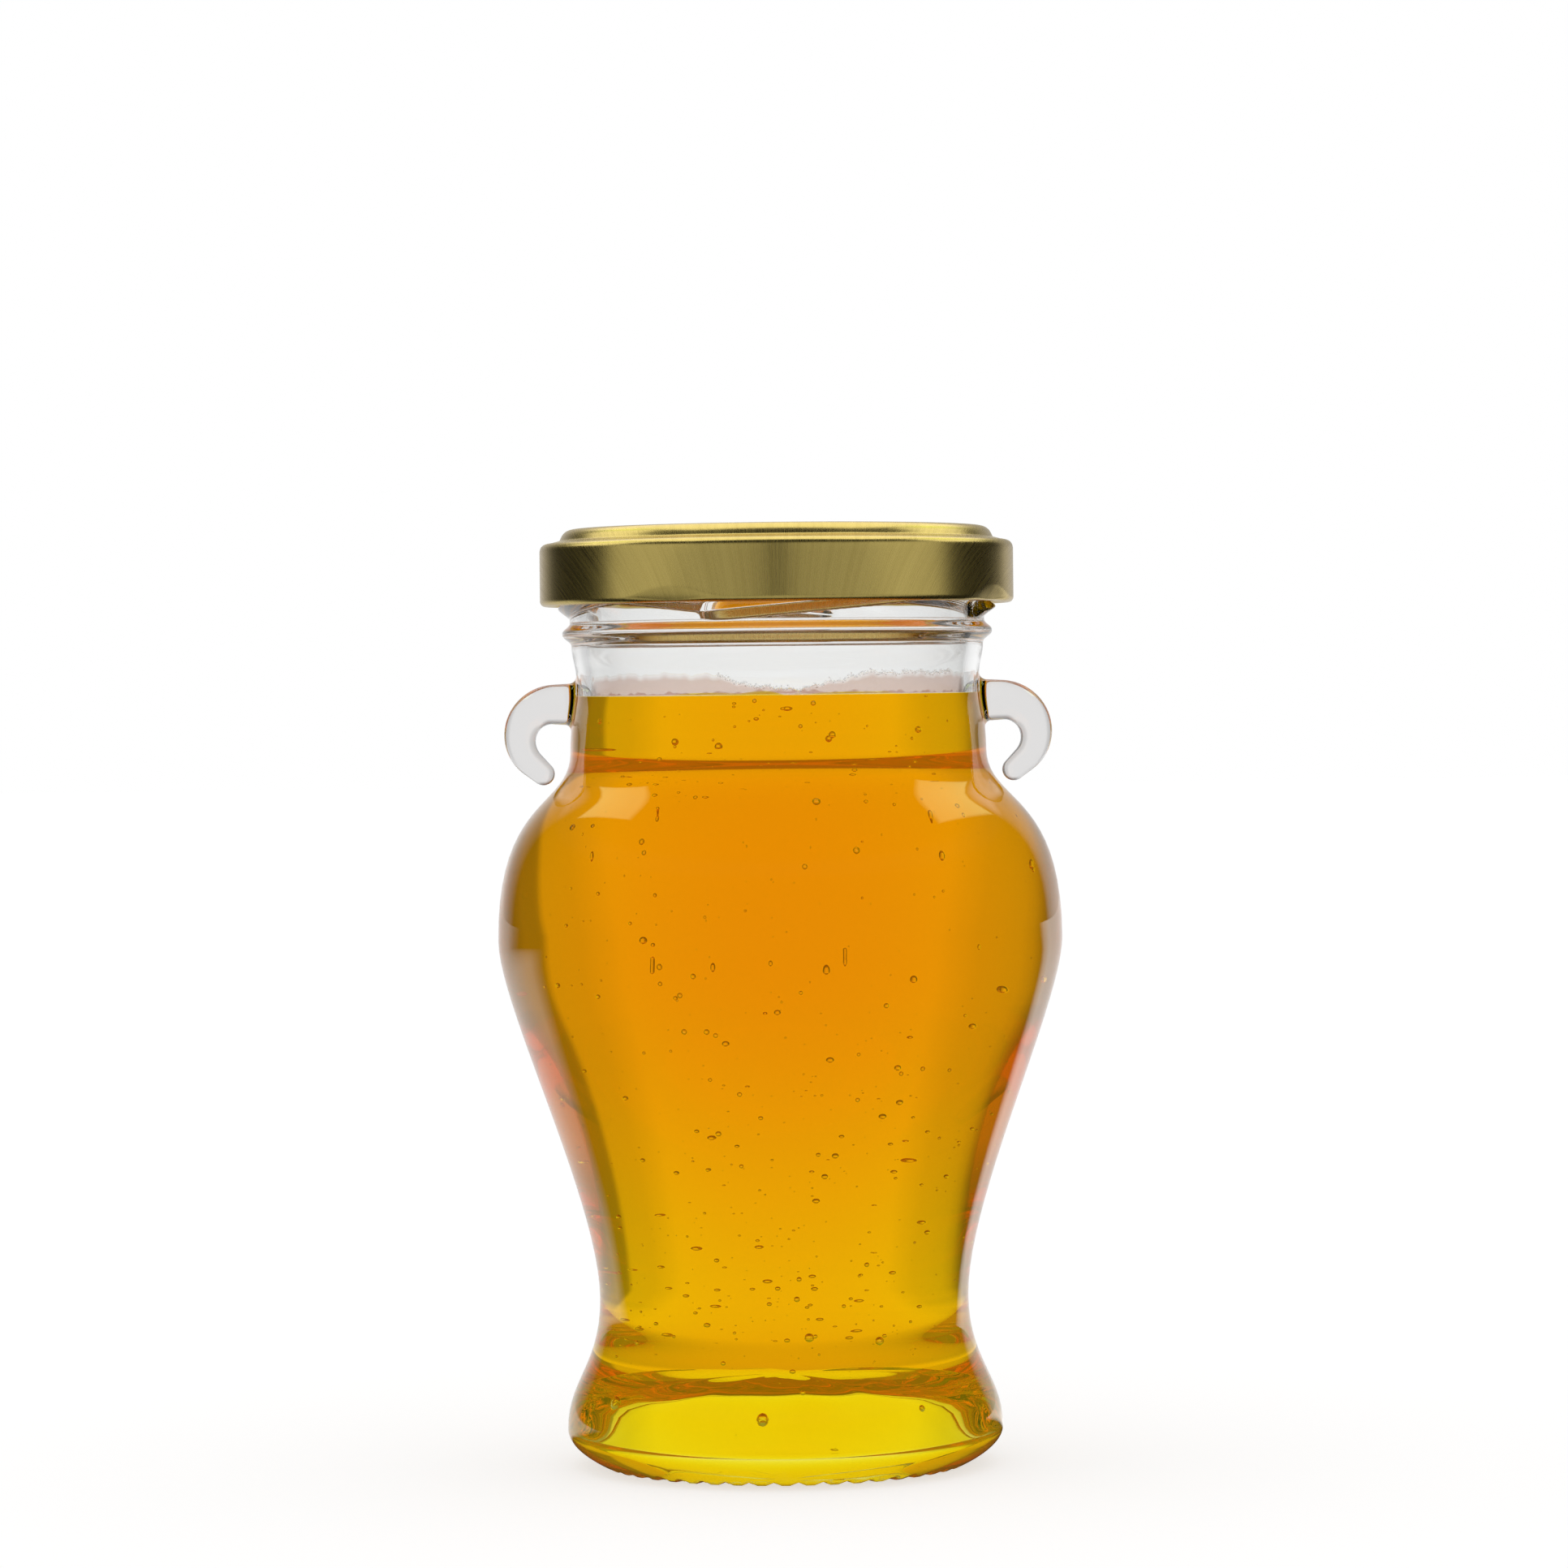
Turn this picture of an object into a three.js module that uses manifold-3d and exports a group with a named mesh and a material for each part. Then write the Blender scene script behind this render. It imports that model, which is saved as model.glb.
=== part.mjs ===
// Two-eared glass honey jar with a twist-off tinplate lid, a sealing ring and its fill.
// Millimetres, +Z up, the origin at the centre of the ring that the jar stands on.
import * as THREE from 'three';
import { mergeGeometries, mergeVertices } from 'three/addons/utils/BufferGeometryUtils.js';
import Module from 'manifold-3d';

const wasm = await Module();
wasm.setup();

// Jar body, outside: radii, and the rise from each level to the next
const HEEL_RADIUS = 30.4;
const WAIST_RADIUS = 25.73;
const BELLY_RADIUS = 39.35;
const HEEL_RISE = 5.0;
const WAIST_RISE = 18.2;
const BELLY_RISE = 50.0;
const SHOULDER_RISE = 26.3;
const NECK_RISE = 10.5;
const COLLAR_RISE = 4.1;
const BEAD_RISE = 3.4;
const FINISH_RISE = 11.7;

// Fullness of the body's curves: length of each end's tangent as a share of the rise
const HEEL_FULLNESS = 0.37;
const WAIST_FULLNESS_BELOW = 0.51;
const WAIST_FULLNESS_ABOVE = 0.27;
const BELLY_FULLNESS_BELOW = 0.18;
const BELLY_FULLNESS_ABOVE = 0.78;
const SHOULDER_FULLNESS = 0.3;
const NECK_FULLNESS = 0.4;
const RISER_FULLNESS = 0.7;

// Glass walls and base
const HEEL_WALL = 3.8;
const WAIST_WALL = 3.2;
const BELLY_WALL = 2.8;
const NECK_WALL = 2.1;
const FINISH_WALL = 2.9;
const FLOOR_THICKNESS = 3.2;
const FLOOR_DOME = 7.0;
const FLOOR_CORNER = 7.0;
const DOME_REACH = 0.8;
const VALLEY_REACH = 0.95;
const PUSH_UP = 3.8;
const FOOT_RING_RADIUS = 25.3;
const FOOT_RING_WIDTH = 1.8;
const KNURL_DEPTH = 0.5;
const KNURL_WIDTH = 1.6;
const KNURL_REACH = 1.2;

// Mouth of the jar
const FINISH_RADIUS = 28.9;
const NECK_FLARE = 0.9;
const COLLAR_FLARE = 0.6;
const BEAD_PROUD = 0.9;
const RIM_OUTER_ROUND = 1.2;
const RIM_INNER_ROUND = 1.0;

// Four sloping ramps on the mouth, which the lid's lugs run under
const LUG_COUNT = 4;
const RAMP_LEAD = 16.0;
const RAMP_SWEEP = 120;
const RAMP_TAPER = 12;
const RAMP_HEIGHT = 1.6;
const RAMP_ROOT = 3.0;
const RAMP_CREST = 0.6;
const RAMP_SINK = 0.6;
const RAMP_END_SINK = 0.15;

// Hooked ears
const EAR_RISE = 6.6;
const EAR_REACH = 3.2;
const EAR_LOOP_RADIUS = 4.7;
const EAR_LOOP_TURN = 138;
const EAR_TIP_LENGTH = 2.2;
const EAR_ROOT_THICKNESS = 5.9;
const EAR_TIP_THICKNESS = 3.2;
const EAR_ROOT_DEPTH = 6.6;
const EAR_TIP_DEPTH = 4.2;
const EAR_TAPER_POWER = 1.4;
const EAR_SQUARENESS = 2.2;
const EAR_FILLET = 1.0;
const EAR_ROOT_SINK = 0.9;

// Fill
const FILL_RISE = 7.6;
const FILL_GAP = 0.3;

// Lid, sealing ring and how they sit on the mouth
const SHEET = 0.25;
const SEAL_THICKNESS = 0.75;
const SEAL_GAP = 0.1;
const SEAL_OVERHANG = 0.1;
const SEAL_CHAMFER = 0.4;
const SKIRT_DROP = 9.5;
const CURL_RADIUS = 0.75;
const CURL_TURN = 290;
const CURL_CLEARANCE = 1.0;
const LUG_AZIMUTH = 64.3;
const LUG_HALF_WIDTH = 12.5;
const LUG_HALF_FLAT = 5.0;
const LUG_WALL_CLEARANCE = 0.7;
const LUG_GAP = 0.1;
const LUG_BEND = 1.65;
const RAMP_OVERRUN = 5.0;
const PANEL_DROP = 1.1;
const PANEL_CLEARANCE = 1.7;
const RISER_WIDTH = 1.2;
const CROWN_INSET = 0.7;
const CROWN_ROUND = 1.6;
const GUTTER_DROP = 1.57;
const GUTTER_REACH = 1.25;
const SHOULDER_FALL = 0.4;
const SHOULDER_ROUND = 1.2;

// Facets: steps round the axis, and steps on each stretch of a profile
const ROUND_STEPS = 48;
const OUTSIDE_STEPS = [3, 1, 3, 5, 7, 8, 2, 2, 2, 2, 1, 2];
const RIM_STEPS = [1, 2];
const CAVITY_STEPS = [6, 3, 3, 6, 7];
const LID_STEPS = [1, 3, 1, 4, 1, 3, 1, 1, 7];
const FILL_STEPS = 36;
const EAR_SIDES = 10;
const EAR_STEPS = 13;
const EAR_TIP_ROUNDING = [30, 60, 80];
const RAMP_STEPS = 16;
const LUG_CROWDING = 0.4;
const MERGE_TOLERANCE = 1e-4;

// Levels and radii that follow from the sizes above
const HEEL_LEVEL = HEEL_RISE;
const WAIST_LEVEL = HEEL_LEVEL + WAIST_RISE;
const BELLY_LEVEL = WAIST_LEVEL + BELLY_RISE;
const NECK_FOOT_LEVEL = BELLY_LEVEL + SHOULDER_RISE;
const NECK_LEVEL = NECK_FOOT_LEVEL + NECK_RISE;
const COLLAR_LEVEL = NECK_LEVEL + COLLAR_RISE;
const BEAD_TOP_LEVEL = COLLAR_LEVEL + BEAD_RISE;
const RIM_LEVEL = BEAD_TOP_LEVEL + FINISH_RISE;
const FILL_LEVEL = NECK_FOOT_LEVEL + FILL_RISE;

const BORE_RADIUS = FINISH_RADIUS - FINISH_WALL;
const NECK_RADIUS = BORE_RADIUS + NECK_WALL;
const NECK_FOOT_RADIUS = NECK_RADIUS + NECK_FLARE;
const COLLAR_RADIUS = NECK_RADIUS + COLLAR_FLARE;
const BEAD_RADIUS = FINISH_RADIUS + BEAD_PROUD;
const CREST_RADIUS = FINISH_RADIUS + RAMP_HEIGHT;

const LID_RADIUS = CREST_RADIUS + CURL_CLEARANCE + 2 * CURL_RADIUS;
const CURL_LEVEL = RIM_LEVEL - SKIRT_DROP + CURL_RADIUS;
const CURL_TOP_LEVEL = CURL_LEVEL + CURL_RADIUS;
const LUG_NOSE_RADIUS = FINISH_RADIUS + LUG_WALL_CLEARANCE;
const LUG_DEPTH = LID_RADIUS - 2 * CURL_RADIUS - LUG_NOSE_RADIUS;
const RAMP_SPACING = 360 / LUG_COUNT;
const RAMP_RISE_PER_DEGREE = RAMP_LEAD / 360;

const radians = THREE.MathUtils.degToRad;

function smoothStep(from, to, value) {
  return THREE.MathUtils.smoothstep(value, from, to);
}

// Points of a path, with a chosen number of steps on each of its stretches
function pathPoints(path, steps) {
  const points = [path.curves[0].getPoint(0)];
  path.curves.forEach((curve, index) => points.push(...curve.getPoints(steps[index]).slice(1)));
  return points;
}

// Body of revolution about +Z from a profile of radius and height
function revolve(profile, steps) {
  return new THREE.LatheGeometry(profile, steps).rotateX(Math.PI / 2);
}

// Closed skin through rings of points, with a fan over each end
function loft(rings) {
  const sides = rings[0].length;
  const points = rings.flat();
  const index = [];
  for (let ring = 0; ring + 1 < rings.length; ring += 1) {
    for (let side = 0; side < sides; side += 1) {
      const a = ring * sides + side;
      const b = ring * sides + (side + 1) % sides;
      index.push(a, a + sides, b, b, a + sides, b + sides);
    }
  }
  const last = (rings.length - 1) * sides;
  for (let side = 1; side + 1 < sides; side += 1) {
    index.push(0, side, side + 1, last, last + side + 1, last + side);
  }
  const geometry = new THREE.BufferGeometry().setFromPoints(points);
  geometry.setIndex(index);
  return geometry;
}

function toSolid(geometry) {
  const bare = geometry.clone();
  bare.deleteAttribute('normal');
  bare.deleteAttribute('uv');
  const merged = mergeVertices(bare, MERGE_TOLERANCE);
  return new wasm.Manifold(new wasm.Mesh({
    numProp: 3,
    vertProperties: new Float32Array(merged.attributes.position.array),
    triVerts: new Uint32Array(merged.index.array),
  }));
}

function toGeometry(solid) {
  const { vertProperties, triVerts } = solid.getMesh();
  const geometry = new THREE.BufferGeometry();
  geometry.setAttribute('position', new THREE.BufferAttribute(vertProperties, 3));
  geometry.setIndex(new THREE.BufferAttribute(triVerts, 1));
  geometry.computeVertexNormals();
  return geometry;
}

// S-shaped stretch of a path that starts and ends upright
function uprightCurve(path, from, to, fullnessFrom, fullnessTo) {
  const rise = to.y - from.y;
  path.bezierCurveTo(from.x, from.y + fullnessFrom * rise, to.x, to.y - fullnessTo * rise, to.x, to.y);
}

// Outside of the glass, from the middle of the underside up to the flat of the rim
function outerProfile() {
  const ringInner = FOOT_RING_RADIUS - FOOT_RING_WIDTH;
  const heel = new THREE.Vector2(HEEL_RADIUS, HEEL_LEVEL);
  const waist = new THREE.Vector2(WAIST_RADIUS, WAIST_LEVEL);
  const belly = new THREE.Vector2(BELLY_RADIUS, BELLY_LEVEL);
  const neckFoot = new THREE.Vector2(NECK_FOOT_RADIUS, NECK_FOOT_LEVEL);
  const neck = new THREE.Vector2(NECK_RADIUS, NECK_LEVEL);
  const collar = new THREE.Vector2(COLLAR_RADIUS, COLLAR_LEVEL);
  const beadMiddle = (COLLAR_LEVEL + BEAD_TOP_LEVEL) / 2;
  const rimCentre = RIM_LEVEL - RIM_OUTER_ROUND;

  const path = new THREE.Path();
  path.moveTo(0, PUSH_UP);
  path.quadraticCurveTo(ringInner / 2, PUSH_UP, ringInner, 0);
  path.lineTo(FOOT_RING_RADIUS, 0);
  path.quadraticCurveTo(heel.x, heel.y / 2, heel.x, heel.y);
  uprightCurve(path, heel, waist, HEEL_FULLNESS, WAIST_FULLNESS_BELOW);
  uprightCurve(path, waist, belly, WAIST_FULLNESS_ABOVE, BELLY_FULLNESS_BELOW);
  uprightCurve(path, belly, neckFoot, BELLY_FULLNESS_ABOVE, SHOULDER_FULLNESS);
  uprightCurve(path, neckFoot, neck, NECK_FULLNESS, NECK_FULLNESS);
  path.quadraticCurveTo(neck.x, (neck.y + collar.y) / 2, collar.x, collar.y);
  path.quadraticCurveTo(BEAD_RADIUS, collar.y + BEAD_RISE / 4, BEAD_RADIUS, beadMiddle);
  path.quadraticCurveTo(BEAD_RADIUS, BEAD_TOP_LEVEL - BEAD_RISE / 4, FINISH_RADIUS, BEAD_TOP_LEVEL);
  path.lineTo(FINISH_RADIUS, rimCentre);
  path.absarc(FINISH_RADIUS - RIM_OUTER_ROUND, rimCentre, RIM_OUTER_ROUND, 0, Math.PI / 2, false);
  return pathPoints(path, OUTSIDE_STEPS);
}

// Inside of the glass, from the middle of the floor up to the mouth's straight bore
function cavityProfile() {
  const floorEdge = HEEL_RADIUS - HEEL_WALL - FLOOR_CORNER;
  const heel = new THREE.Vector2(HEEL_RADIUS - HEEL_WALL, FLOOR_THICKNESS + FLOOR_CORNER);
  const waist = new THREE.Vector2(WAIST_RADIUS - WAIST_WALL, WAIST_LEVEL);
  const belly = new THREE.Vector2(BELLY_RADIUS - BELLY_WALL, BELLY_LEVEL);
  const bore = new THREE.Vector2(BORE_RADIUS, NECK_FOOT_LEVEL);
  const floorLevel = heel.y - FLOOR_CORNER;
  const domeLevel = floorLevel + FLOOR_DOME;
  const domeReach = DOME_REACH * floorEdge;
  const valleyReach = VALLEY_REACH * floorEdge;

  const path = new THREE.Path();
  path.moveTo(0, domeLevel);
  path.bezierCurveTo(domeReach, domeLevel, valleyReach, floorLevel, floorEdge, floorLevel);
  path.absarc(floorEdge, heel.y, FLOOR_CORNER, -Math.PI / 2, 0, false);
  uprightCurve(path, heel, waist, HEEL_FULLNESS, WAIST_FULLNESS_BELOW);
  uprightCurve(path, waist, belly, WAIST_FULLNESS_ABOVE, BELLY_FULLNESS_BELOW);
  uprightCurve(path, belly, bore, BELLY_FULLNESS_ABOVE, SHOULDER_FULLNESS);
  return pathPoints(path, CAVITY_STEPS);
}

function jarBody() {
  const rimCentre = RIM_LEVEL - RIM_INNER_ROUND;
  const rim = new THREE.Path();
  rim.moveTo(BORE_RADIUS + RIM_INNER_ROUND, RIM_LEVEL);
  rim.absarc(BORE_RADIUS + RIM_INNER_ROUND, rimCentre, RIM_INNER_ROUND, Math.PI / 2, Math.PI, false);
  const inside = cavityProfile().reverse();
  return revolve([...outerProfile(), ...pathPoints(rim, RIM_STEPS), ...inside], ROUND_STEPS);
}

// Grooves across the foot ring, which keep the jar from sliding on a wet line
function knurling() {
  const section = new THREE.Shape([
    new THREE.Vector2(-KNURL_WIDTH, -KNURL_DEPTH),
    new THREE.Vector2(KNURL_WIDTH, -KNURL_DEPTH),
    new THREE.Vector2(0, KNURL_DEPTH),
  ]);
  const depth = FOOT_RING_WIDTH + 2 * KNURL_REACH;
  const grooves = [];
  for (let step = 0; step < ROUND_STEPS; step += 1) {
    const groove = new THREE.ExtrudeGeometry(section, { depth, bevelEnabled: false });
    groove.translate(0, 0, FOOT_RING_RADIUS - FOOT_RING_WIDTH - KNURL_REACH);
    groove.rotateX(Math.PI / 2);
    groove.rotateZ((step + 0.5) * 2 * Math.PI / ROUND_STEPS);
    grooves.push(groove);
  }
  return mergeGeometries(grooves);
}

// Height of a ramp's centre line over a lug's centre that leaves the gap between their faces
function rampOverLug() {
  const flankFall = (RAMP_ROOT - RAMP_CREST) / 2;
  const flankLength = Math.hypot(RAMP_HEIGHT, flankFall);
  const inset = CREST_RADIUS - (LUG_NOSE_RADIUS + CURL_RADIUS);
  const faceToCentre = CURL_RADIUS + LUG_GAP;
  const drop = (faceToCentre * flankLength + inset * flankFall) / RAMP_HEIGHT;
  return RAMP_CREST / 2 + drop + LUG_HALF_FLAT * RAMP_RISE_PER_DEGREE;
}

// One ramp: a ridge that climbs the mouth and sinks into the wall at both ends
function ramp(startAzimuth, startLevel) {
  const rootRadius = FINISH_RADIUS - RAMP_SINK;
  const sunkenRadius = FINISH_RADIUS - RAMP_END_SINK;
  const rings = [];
  for (let step = 0; step <= RAMP_STEPS; step += 1) {
    const turn = RAMP_SWEEP * step / RAMP_STEPS;
    const nearEnd = Math.min(turn, RAMP_SWEEP - turn);
    const crestRadius = THREE.MathUtils.lerp(sunkenRadius, CREST_RADIUS, smoothStep(0, RAMP_TAPER, nearEnd));
    const azimuth = radians(startAzimuth + turn);
    const level = startLevel + turn * RAMP_RISE_PER_DEGREE;
    const section = [
      [rootRadius, -RAMP_ROOT / 2],
      [crestRadius, -RAMP_CREST / 2],
      [crestRadius, RAMP_CREST / 2],
      [rootRadius, RAMP_ROOT / 2],
    ];
    rings.push(section.map(([radius, height]) => new THREE.Vector3(
      radius * Math.cos(azimuth), radius * Math.sin(azimuth), level + height)));
  }
  return loft(rings);
}

function ramps() {
  const start = LUG_AZIMUTH + RAMP_OVERRUN;
  const turnToLug = RAMP_SPACING - RAMP_OVERRUN;
  const level = CURL_LEVEL + rampOverLug() - turnToLug * RAMP_RISE_PER_DEGREE;
  return Array.from({ length: LUG_COUNT }, (unused, copy) => ramp(start + copy * RAMP_SPACING, level));
}

// Centre line of an ear in radius and height: out of the neck, round and down to its tip
function earCentreLine() {
  const loopX = NECK_RADIUS + EAR_REACH;
  const rootLevel = NECK_FOOT_LEVEL + EAR_RISE;
  const loopLevel = rootLevel - EAR_LOOP_RADIUS;
  const loopEnd = Math.PI / 2 - radians(EAR_LOOP_TURN);
  const heading = new THREE.Vector2(Math.sin(loopEnd), -Math.cos(loopEnd));
  const path = new THREE.Path();
  path.moveTo(NECK_RADIUS - EAR_ROOT_SINK, rootLevel);
  path.lineTo(loopX, rootLevel);
  path.absarc(loopX, loopLevel, EAR_LOOP_RADIUS, Math.PI / 2, loopEnd, true);
  const tip = path.currentPoint.clone().addScaledVector(heading, EAR_TIP_LENGTH);
  path.lineTo(tip.x, tip.y);
  return path;
}

// Rounded-square ring of an ear, square to its centre line
function earRing(centre, heading, halfThickness, halfDepth) {
  const ring = [];
  const across = new THREE.Vector2(-heading.y, heading.x);
  for (let side = 0; side < EAR_SIDES; side += 1) {
    const turn = 2 * Math.PI * side / EAR_SIDES;
    const cosine = Math.cos(turn);
    const sine = Math.sin(turn);
    const out = halfThickness * Math.sign(cosine) * Math.abs(cosine) ** (2 / EAR_SQUARENESS);
    const depth = halfDepth * Math.sign(sine) * Math.abs(sine) ** (2 / EAR_SQUARENESS);
    ring.push(new THREE.Vector3(centre.x + out * across.x, depth, centre.y + out * across.y));
  }
  return ring;
}

function ear() {
  const line = earCentreLine();
  const rings = [];
  for (let step = 0; step <= EAR_STEPS; step += 1) {
    const share = step / EAR_STEPS;
    const centre = line.getPointAt(share);
    const slimming = share ** EAR_TAPER_POWER;
    const fromWall = THREE.MathUtils.clamp(centre.x - NECK_RADIUS, 0, EAR_FILLET);
    const fillet = EAR_FILLET - Math.sqrt(fromWall * (2 * EAR_FILLET - fromWall));
    const thickness = THREE.MathUtils.lerp(EAR_ROOT_THICKNESS, EAR_TIP_THICKNESS, slimming);
    const depth = THREE.MathUtils.lerp(EAR_ROOT_DEPTH, EAR_TIP_DEPTH, slimming);
    rings.push(earRing(centre, line.getTangentAt(share), thickness / 2 + fillet, depth / 2 + fillet));
  }
  const tip = line.getPointAt(1);
  const heading = line.getTangentAt(1);
  for (const turn of EAR_TIP_ROUNDING) {
    const reach = Math.sin(radians(turn)) * EAR_TIP_THICKNESS / 2;
    const shrink = Math.cos(radians(turn)) / 2;
    const centre = tip.clone().addScaledVector(heading, reach);
    rings.push(earRing(centre, heading, EAR_TIP_THICKNESS * shrink, EAR_TIP_DEPTH * shrink));
  }
  return loft(rings);
}

function glassJar() {
  const rightEar = ear();
  const leftEar = rightEar.clone().rotateZ(Math.PI);
  let solid = toSolid(jarBody());
  for (const addition of [rightEar, leftEar, ...ramps()]) {
    solid = solid.add(toSolid(addition));
  }
  return toGeometry(solid.subtract(toSolid(knurling())));
}

// Line set off to the left of its own direction by a distance, with mitred bends
function offsetLine(line, distance) {
  return line.map((point, index) => {
    const before = line[Math.max(index - 1, 0)];
    const after = line[Math.min(index + 1, line.length - 1)];
    const arriving = point.clone().sub(before).normalize();
    const leaving = after.clone().sub(point).normalize();
    const along = arriving.add(leaving).normalize();
    const atEnd = index === 0 || index + 1 === line.length;
    const mitre = atEnd ? 1 : along.dot(leaving);
    const left = new THREE.Vector2(-along.y, along.x);
    return point.clone().addScaledVector(left, distance / mitre);
  });
}

// The fill takes the cavity's shape, a gap away from the glass, with a level top
function honeyFill() {
  const wall = offsetLine(cavityProfile(), FILL_GAP);
  wall[0].x = 0;
  const top = [new THREE.Vector2(BORE_RADIUS - FILL_GAP, FILL_LEVEL), new THREE.Vector2(0, FILL_LEVEL)];
  return revolve([...wall, ...top], FILL_STEPS);
}

// Soft ring between the rim and the lid, with its outer upper edge cut back under the crown
function sealingRing() {
  const inner = BORE_RADIUS - SEAL_OVERHANG;
  const outer = FINISH_RADIUS;
  const bottom = RIM_LEVEL + SEAL_GAP;
  const top = bottom + SEAL_THICKNESS;
  const section = [
    [inner, bottom],
    [outer, bottom],
    [outer, top - SEAL_CHAMFER],
    [outer - 2 * SEAL_CHAMFER, top],
    [inner, top],
    [inner, bottom],
  ];
  return revolve(section.map(([radius, level]) => new THREE.Vector2(radius, level)), ROUND_STEPS);
}

// Middle of the lid's sheet: panel, riser, crown over the rim, gutter, shoulder, skirt and curl
function lidCentreLine() {
  const crownLevel = RIM_LEVEL + SEAL_THICKNESS + 2 * SEAL_GAP + SHEET / 2;
  const panelLevel = crownLevel - PANEL_DROP;
  const panelRadius = BORE_RADIUS - PANEL_CLEARANCE;
  const crownInner = panelRadius + RISER_WIDTH;
  const crownOuter = FINISH_RADIUS - CROWN_INSET;
  const gutterRadius = FINISH_RADIUS + GUTTER_REACH;
  const gutterLevel = crownLevel - GUTTER_DROP;
  const skirtRadius = LID_RADIUS - SHEET / 2;
  const shoulderLevel = gutterLevel - SHOULDER_FALL;
  const curlCentre = LID_RADIUS - CURL_RADIUS;
  const curlRound = CURL_RADIUS - SHEET / 2;
  const path = new THREE.Path();
  path.moveTo(0, panelLevel);
  path.lineTo(panelRadius, panelLevel);
  const riserTangent = RISER_FULLNESS * RISER_WIDTH;
  path.bezierCurveTo(panelRadius + riserTangent, panelLevel, crownInner - riserTangent, crownLevel,
    crownInner, crownLevel);
  path.lineTo(crownOuter, crownLevel);
  path.bezierCurveTo(crownOuter + CROWN_ROUND, crownLevel, gutterRadius - SHEET, gutterLevel + SHEET,
    gutterRadius, gutterLevel);
  path.lineTo(skirtRadius - SHOULDER_ROUND, shoulderLevel);
  path.quadraticCurveTo(skirtRadius, shoulderLevel, skirtRadius, shoulderLevel - SHOULDER_ROUND);
  path.lineTo(skirtRadius, CURL_TOP_LEVEL + LUG_BEND);
  path.lineTo(skirtRadius, CURL_LEVEL);
  path.absarc(curlCentre, CURL_LEVEL, curlRound, 0, -radians(CURL_TURN), true);
  return pathPoints(path, LID_STEPS);
}

// The curl is pressed in at each lug, and the skirt bends in to meet it
function pressLugs(geometry) {
  const position = geometry.attributes.position;
  for (let index = 0; index < position.count; index += 1) {
    const radius = Math.hypot(position.getX(index), position.getY(index));
    const even = Math.atan2(position.getY(index), position.getX(index));
    const azimuth = even - LUG_CROWDING * Math.sin(LUG_COUNT * even) / LUG_COUNT;
    const spacing = radians(RAMP_SPACING);
    const fromLug = Math.abs(azimuth - spacing * Math.round(azimuth / spacing));
    const across = 1 - smoothStep(radians(LUG_HALF_FLAT), radians(LUG_HALF_WIDTH), fromLug);
    const level = position.getZ(index);
    const reached = level < CURL_TOP_LEVEL + LUG_BEND / 2;
    const pressed = reached ? radius - LUG_DEPTH * across : radius;
    const turned = azimuth + radians(LUG_AZIMUTH);
    position.setXYZ(index, pressed * Math.cos(turned), pressed * Math.sin(turned), level);
  }
  geometry.computeVertexNormals();
  return geometry;
}

// The sheet has half its thickness on each side of its middle line
function twistLid() {
  const middle = lidCentreLine();
  const topFace = offsetLine(middle, SHEET / 2);
  const underFace = offsetLine(middle, -SHEET / 2);
  topFace[0].x = 0;
  underFace[0].x = 0;
  return pressLugs(revolve([...underFace, ...topFace.reverse()], ROUND_STEPS));
}

const glass = new THREE.MeshStandardMaterial({
  color: 0xf1f4f3, roughness: 0.04, metalness: 0, transparent: true, opacity: 0.3,
});
const honey = new THREE.MeshStandardMaterial({
  color: 0xe89600, roughness: 0.08, metalness: 0, transparent: true, opacity: 0.85,
});
const goldLacquer = new THREE.MeshStandardMaterial({ color: 0xb39a4e, roughness: 0.34, metalness: 1 });
const sealCompound = new THREE.MeshStandardMaterial({ color: 0xe9e4d8, roughness: 0.6, metalness: 0 });

function named(name, geometry, material) {
  const mesh = new THREE.Mesh(geometry, material);
  mesh.name = name;
  return mesh;
}

const jar = new THREE.Group();
jar.add(named('glass_jar', glassJar(), glass));
jar.add(named('honey_fill', honeyFill(), honey));

const closure = new THREE.Group();
closure.add(named('sealing_ring', sealingRing(), sealCompound));
closure.add(named('twist_lid', twistLid(), goldLacquer));

const honeyJar = new THREE.Group();
honeyJar.add(jar, closure);

export default honeyJar;
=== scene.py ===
"""Two-eared glass jar of honey with a twist-off lid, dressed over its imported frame."""
import math
import random

import bpy
from mathutils import Matrix, Vector


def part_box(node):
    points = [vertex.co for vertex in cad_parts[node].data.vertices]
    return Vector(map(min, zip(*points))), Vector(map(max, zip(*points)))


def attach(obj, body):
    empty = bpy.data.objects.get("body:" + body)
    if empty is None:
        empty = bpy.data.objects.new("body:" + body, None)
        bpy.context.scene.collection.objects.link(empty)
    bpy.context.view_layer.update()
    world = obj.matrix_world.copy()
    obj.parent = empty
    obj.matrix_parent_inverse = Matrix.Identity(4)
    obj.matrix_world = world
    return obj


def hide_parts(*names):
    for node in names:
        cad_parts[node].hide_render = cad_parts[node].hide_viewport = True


bl_info = {
    "name": "Glass Honey Jar",
    "version": (1, 0, 0),
    "blender": (4, 5, 0),
    "location": "View3D > Sidebar > Honey Jar",
    "description": "Builds a two-eared glass jar of honey with a twist-off lid over its packed frame",
    "category": "Add Mesh",
}

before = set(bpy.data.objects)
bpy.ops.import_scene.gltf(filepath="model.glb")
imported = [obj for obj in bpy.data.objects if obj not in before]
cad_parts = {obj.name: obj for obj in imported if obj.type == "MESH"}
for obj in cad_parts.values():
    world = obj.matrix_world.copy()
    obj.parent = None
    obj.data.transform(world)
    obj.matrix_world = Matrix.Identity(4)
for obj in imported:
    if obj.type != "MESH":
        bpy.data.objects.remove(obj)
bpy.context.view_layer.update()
MM = 0.001

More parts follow.
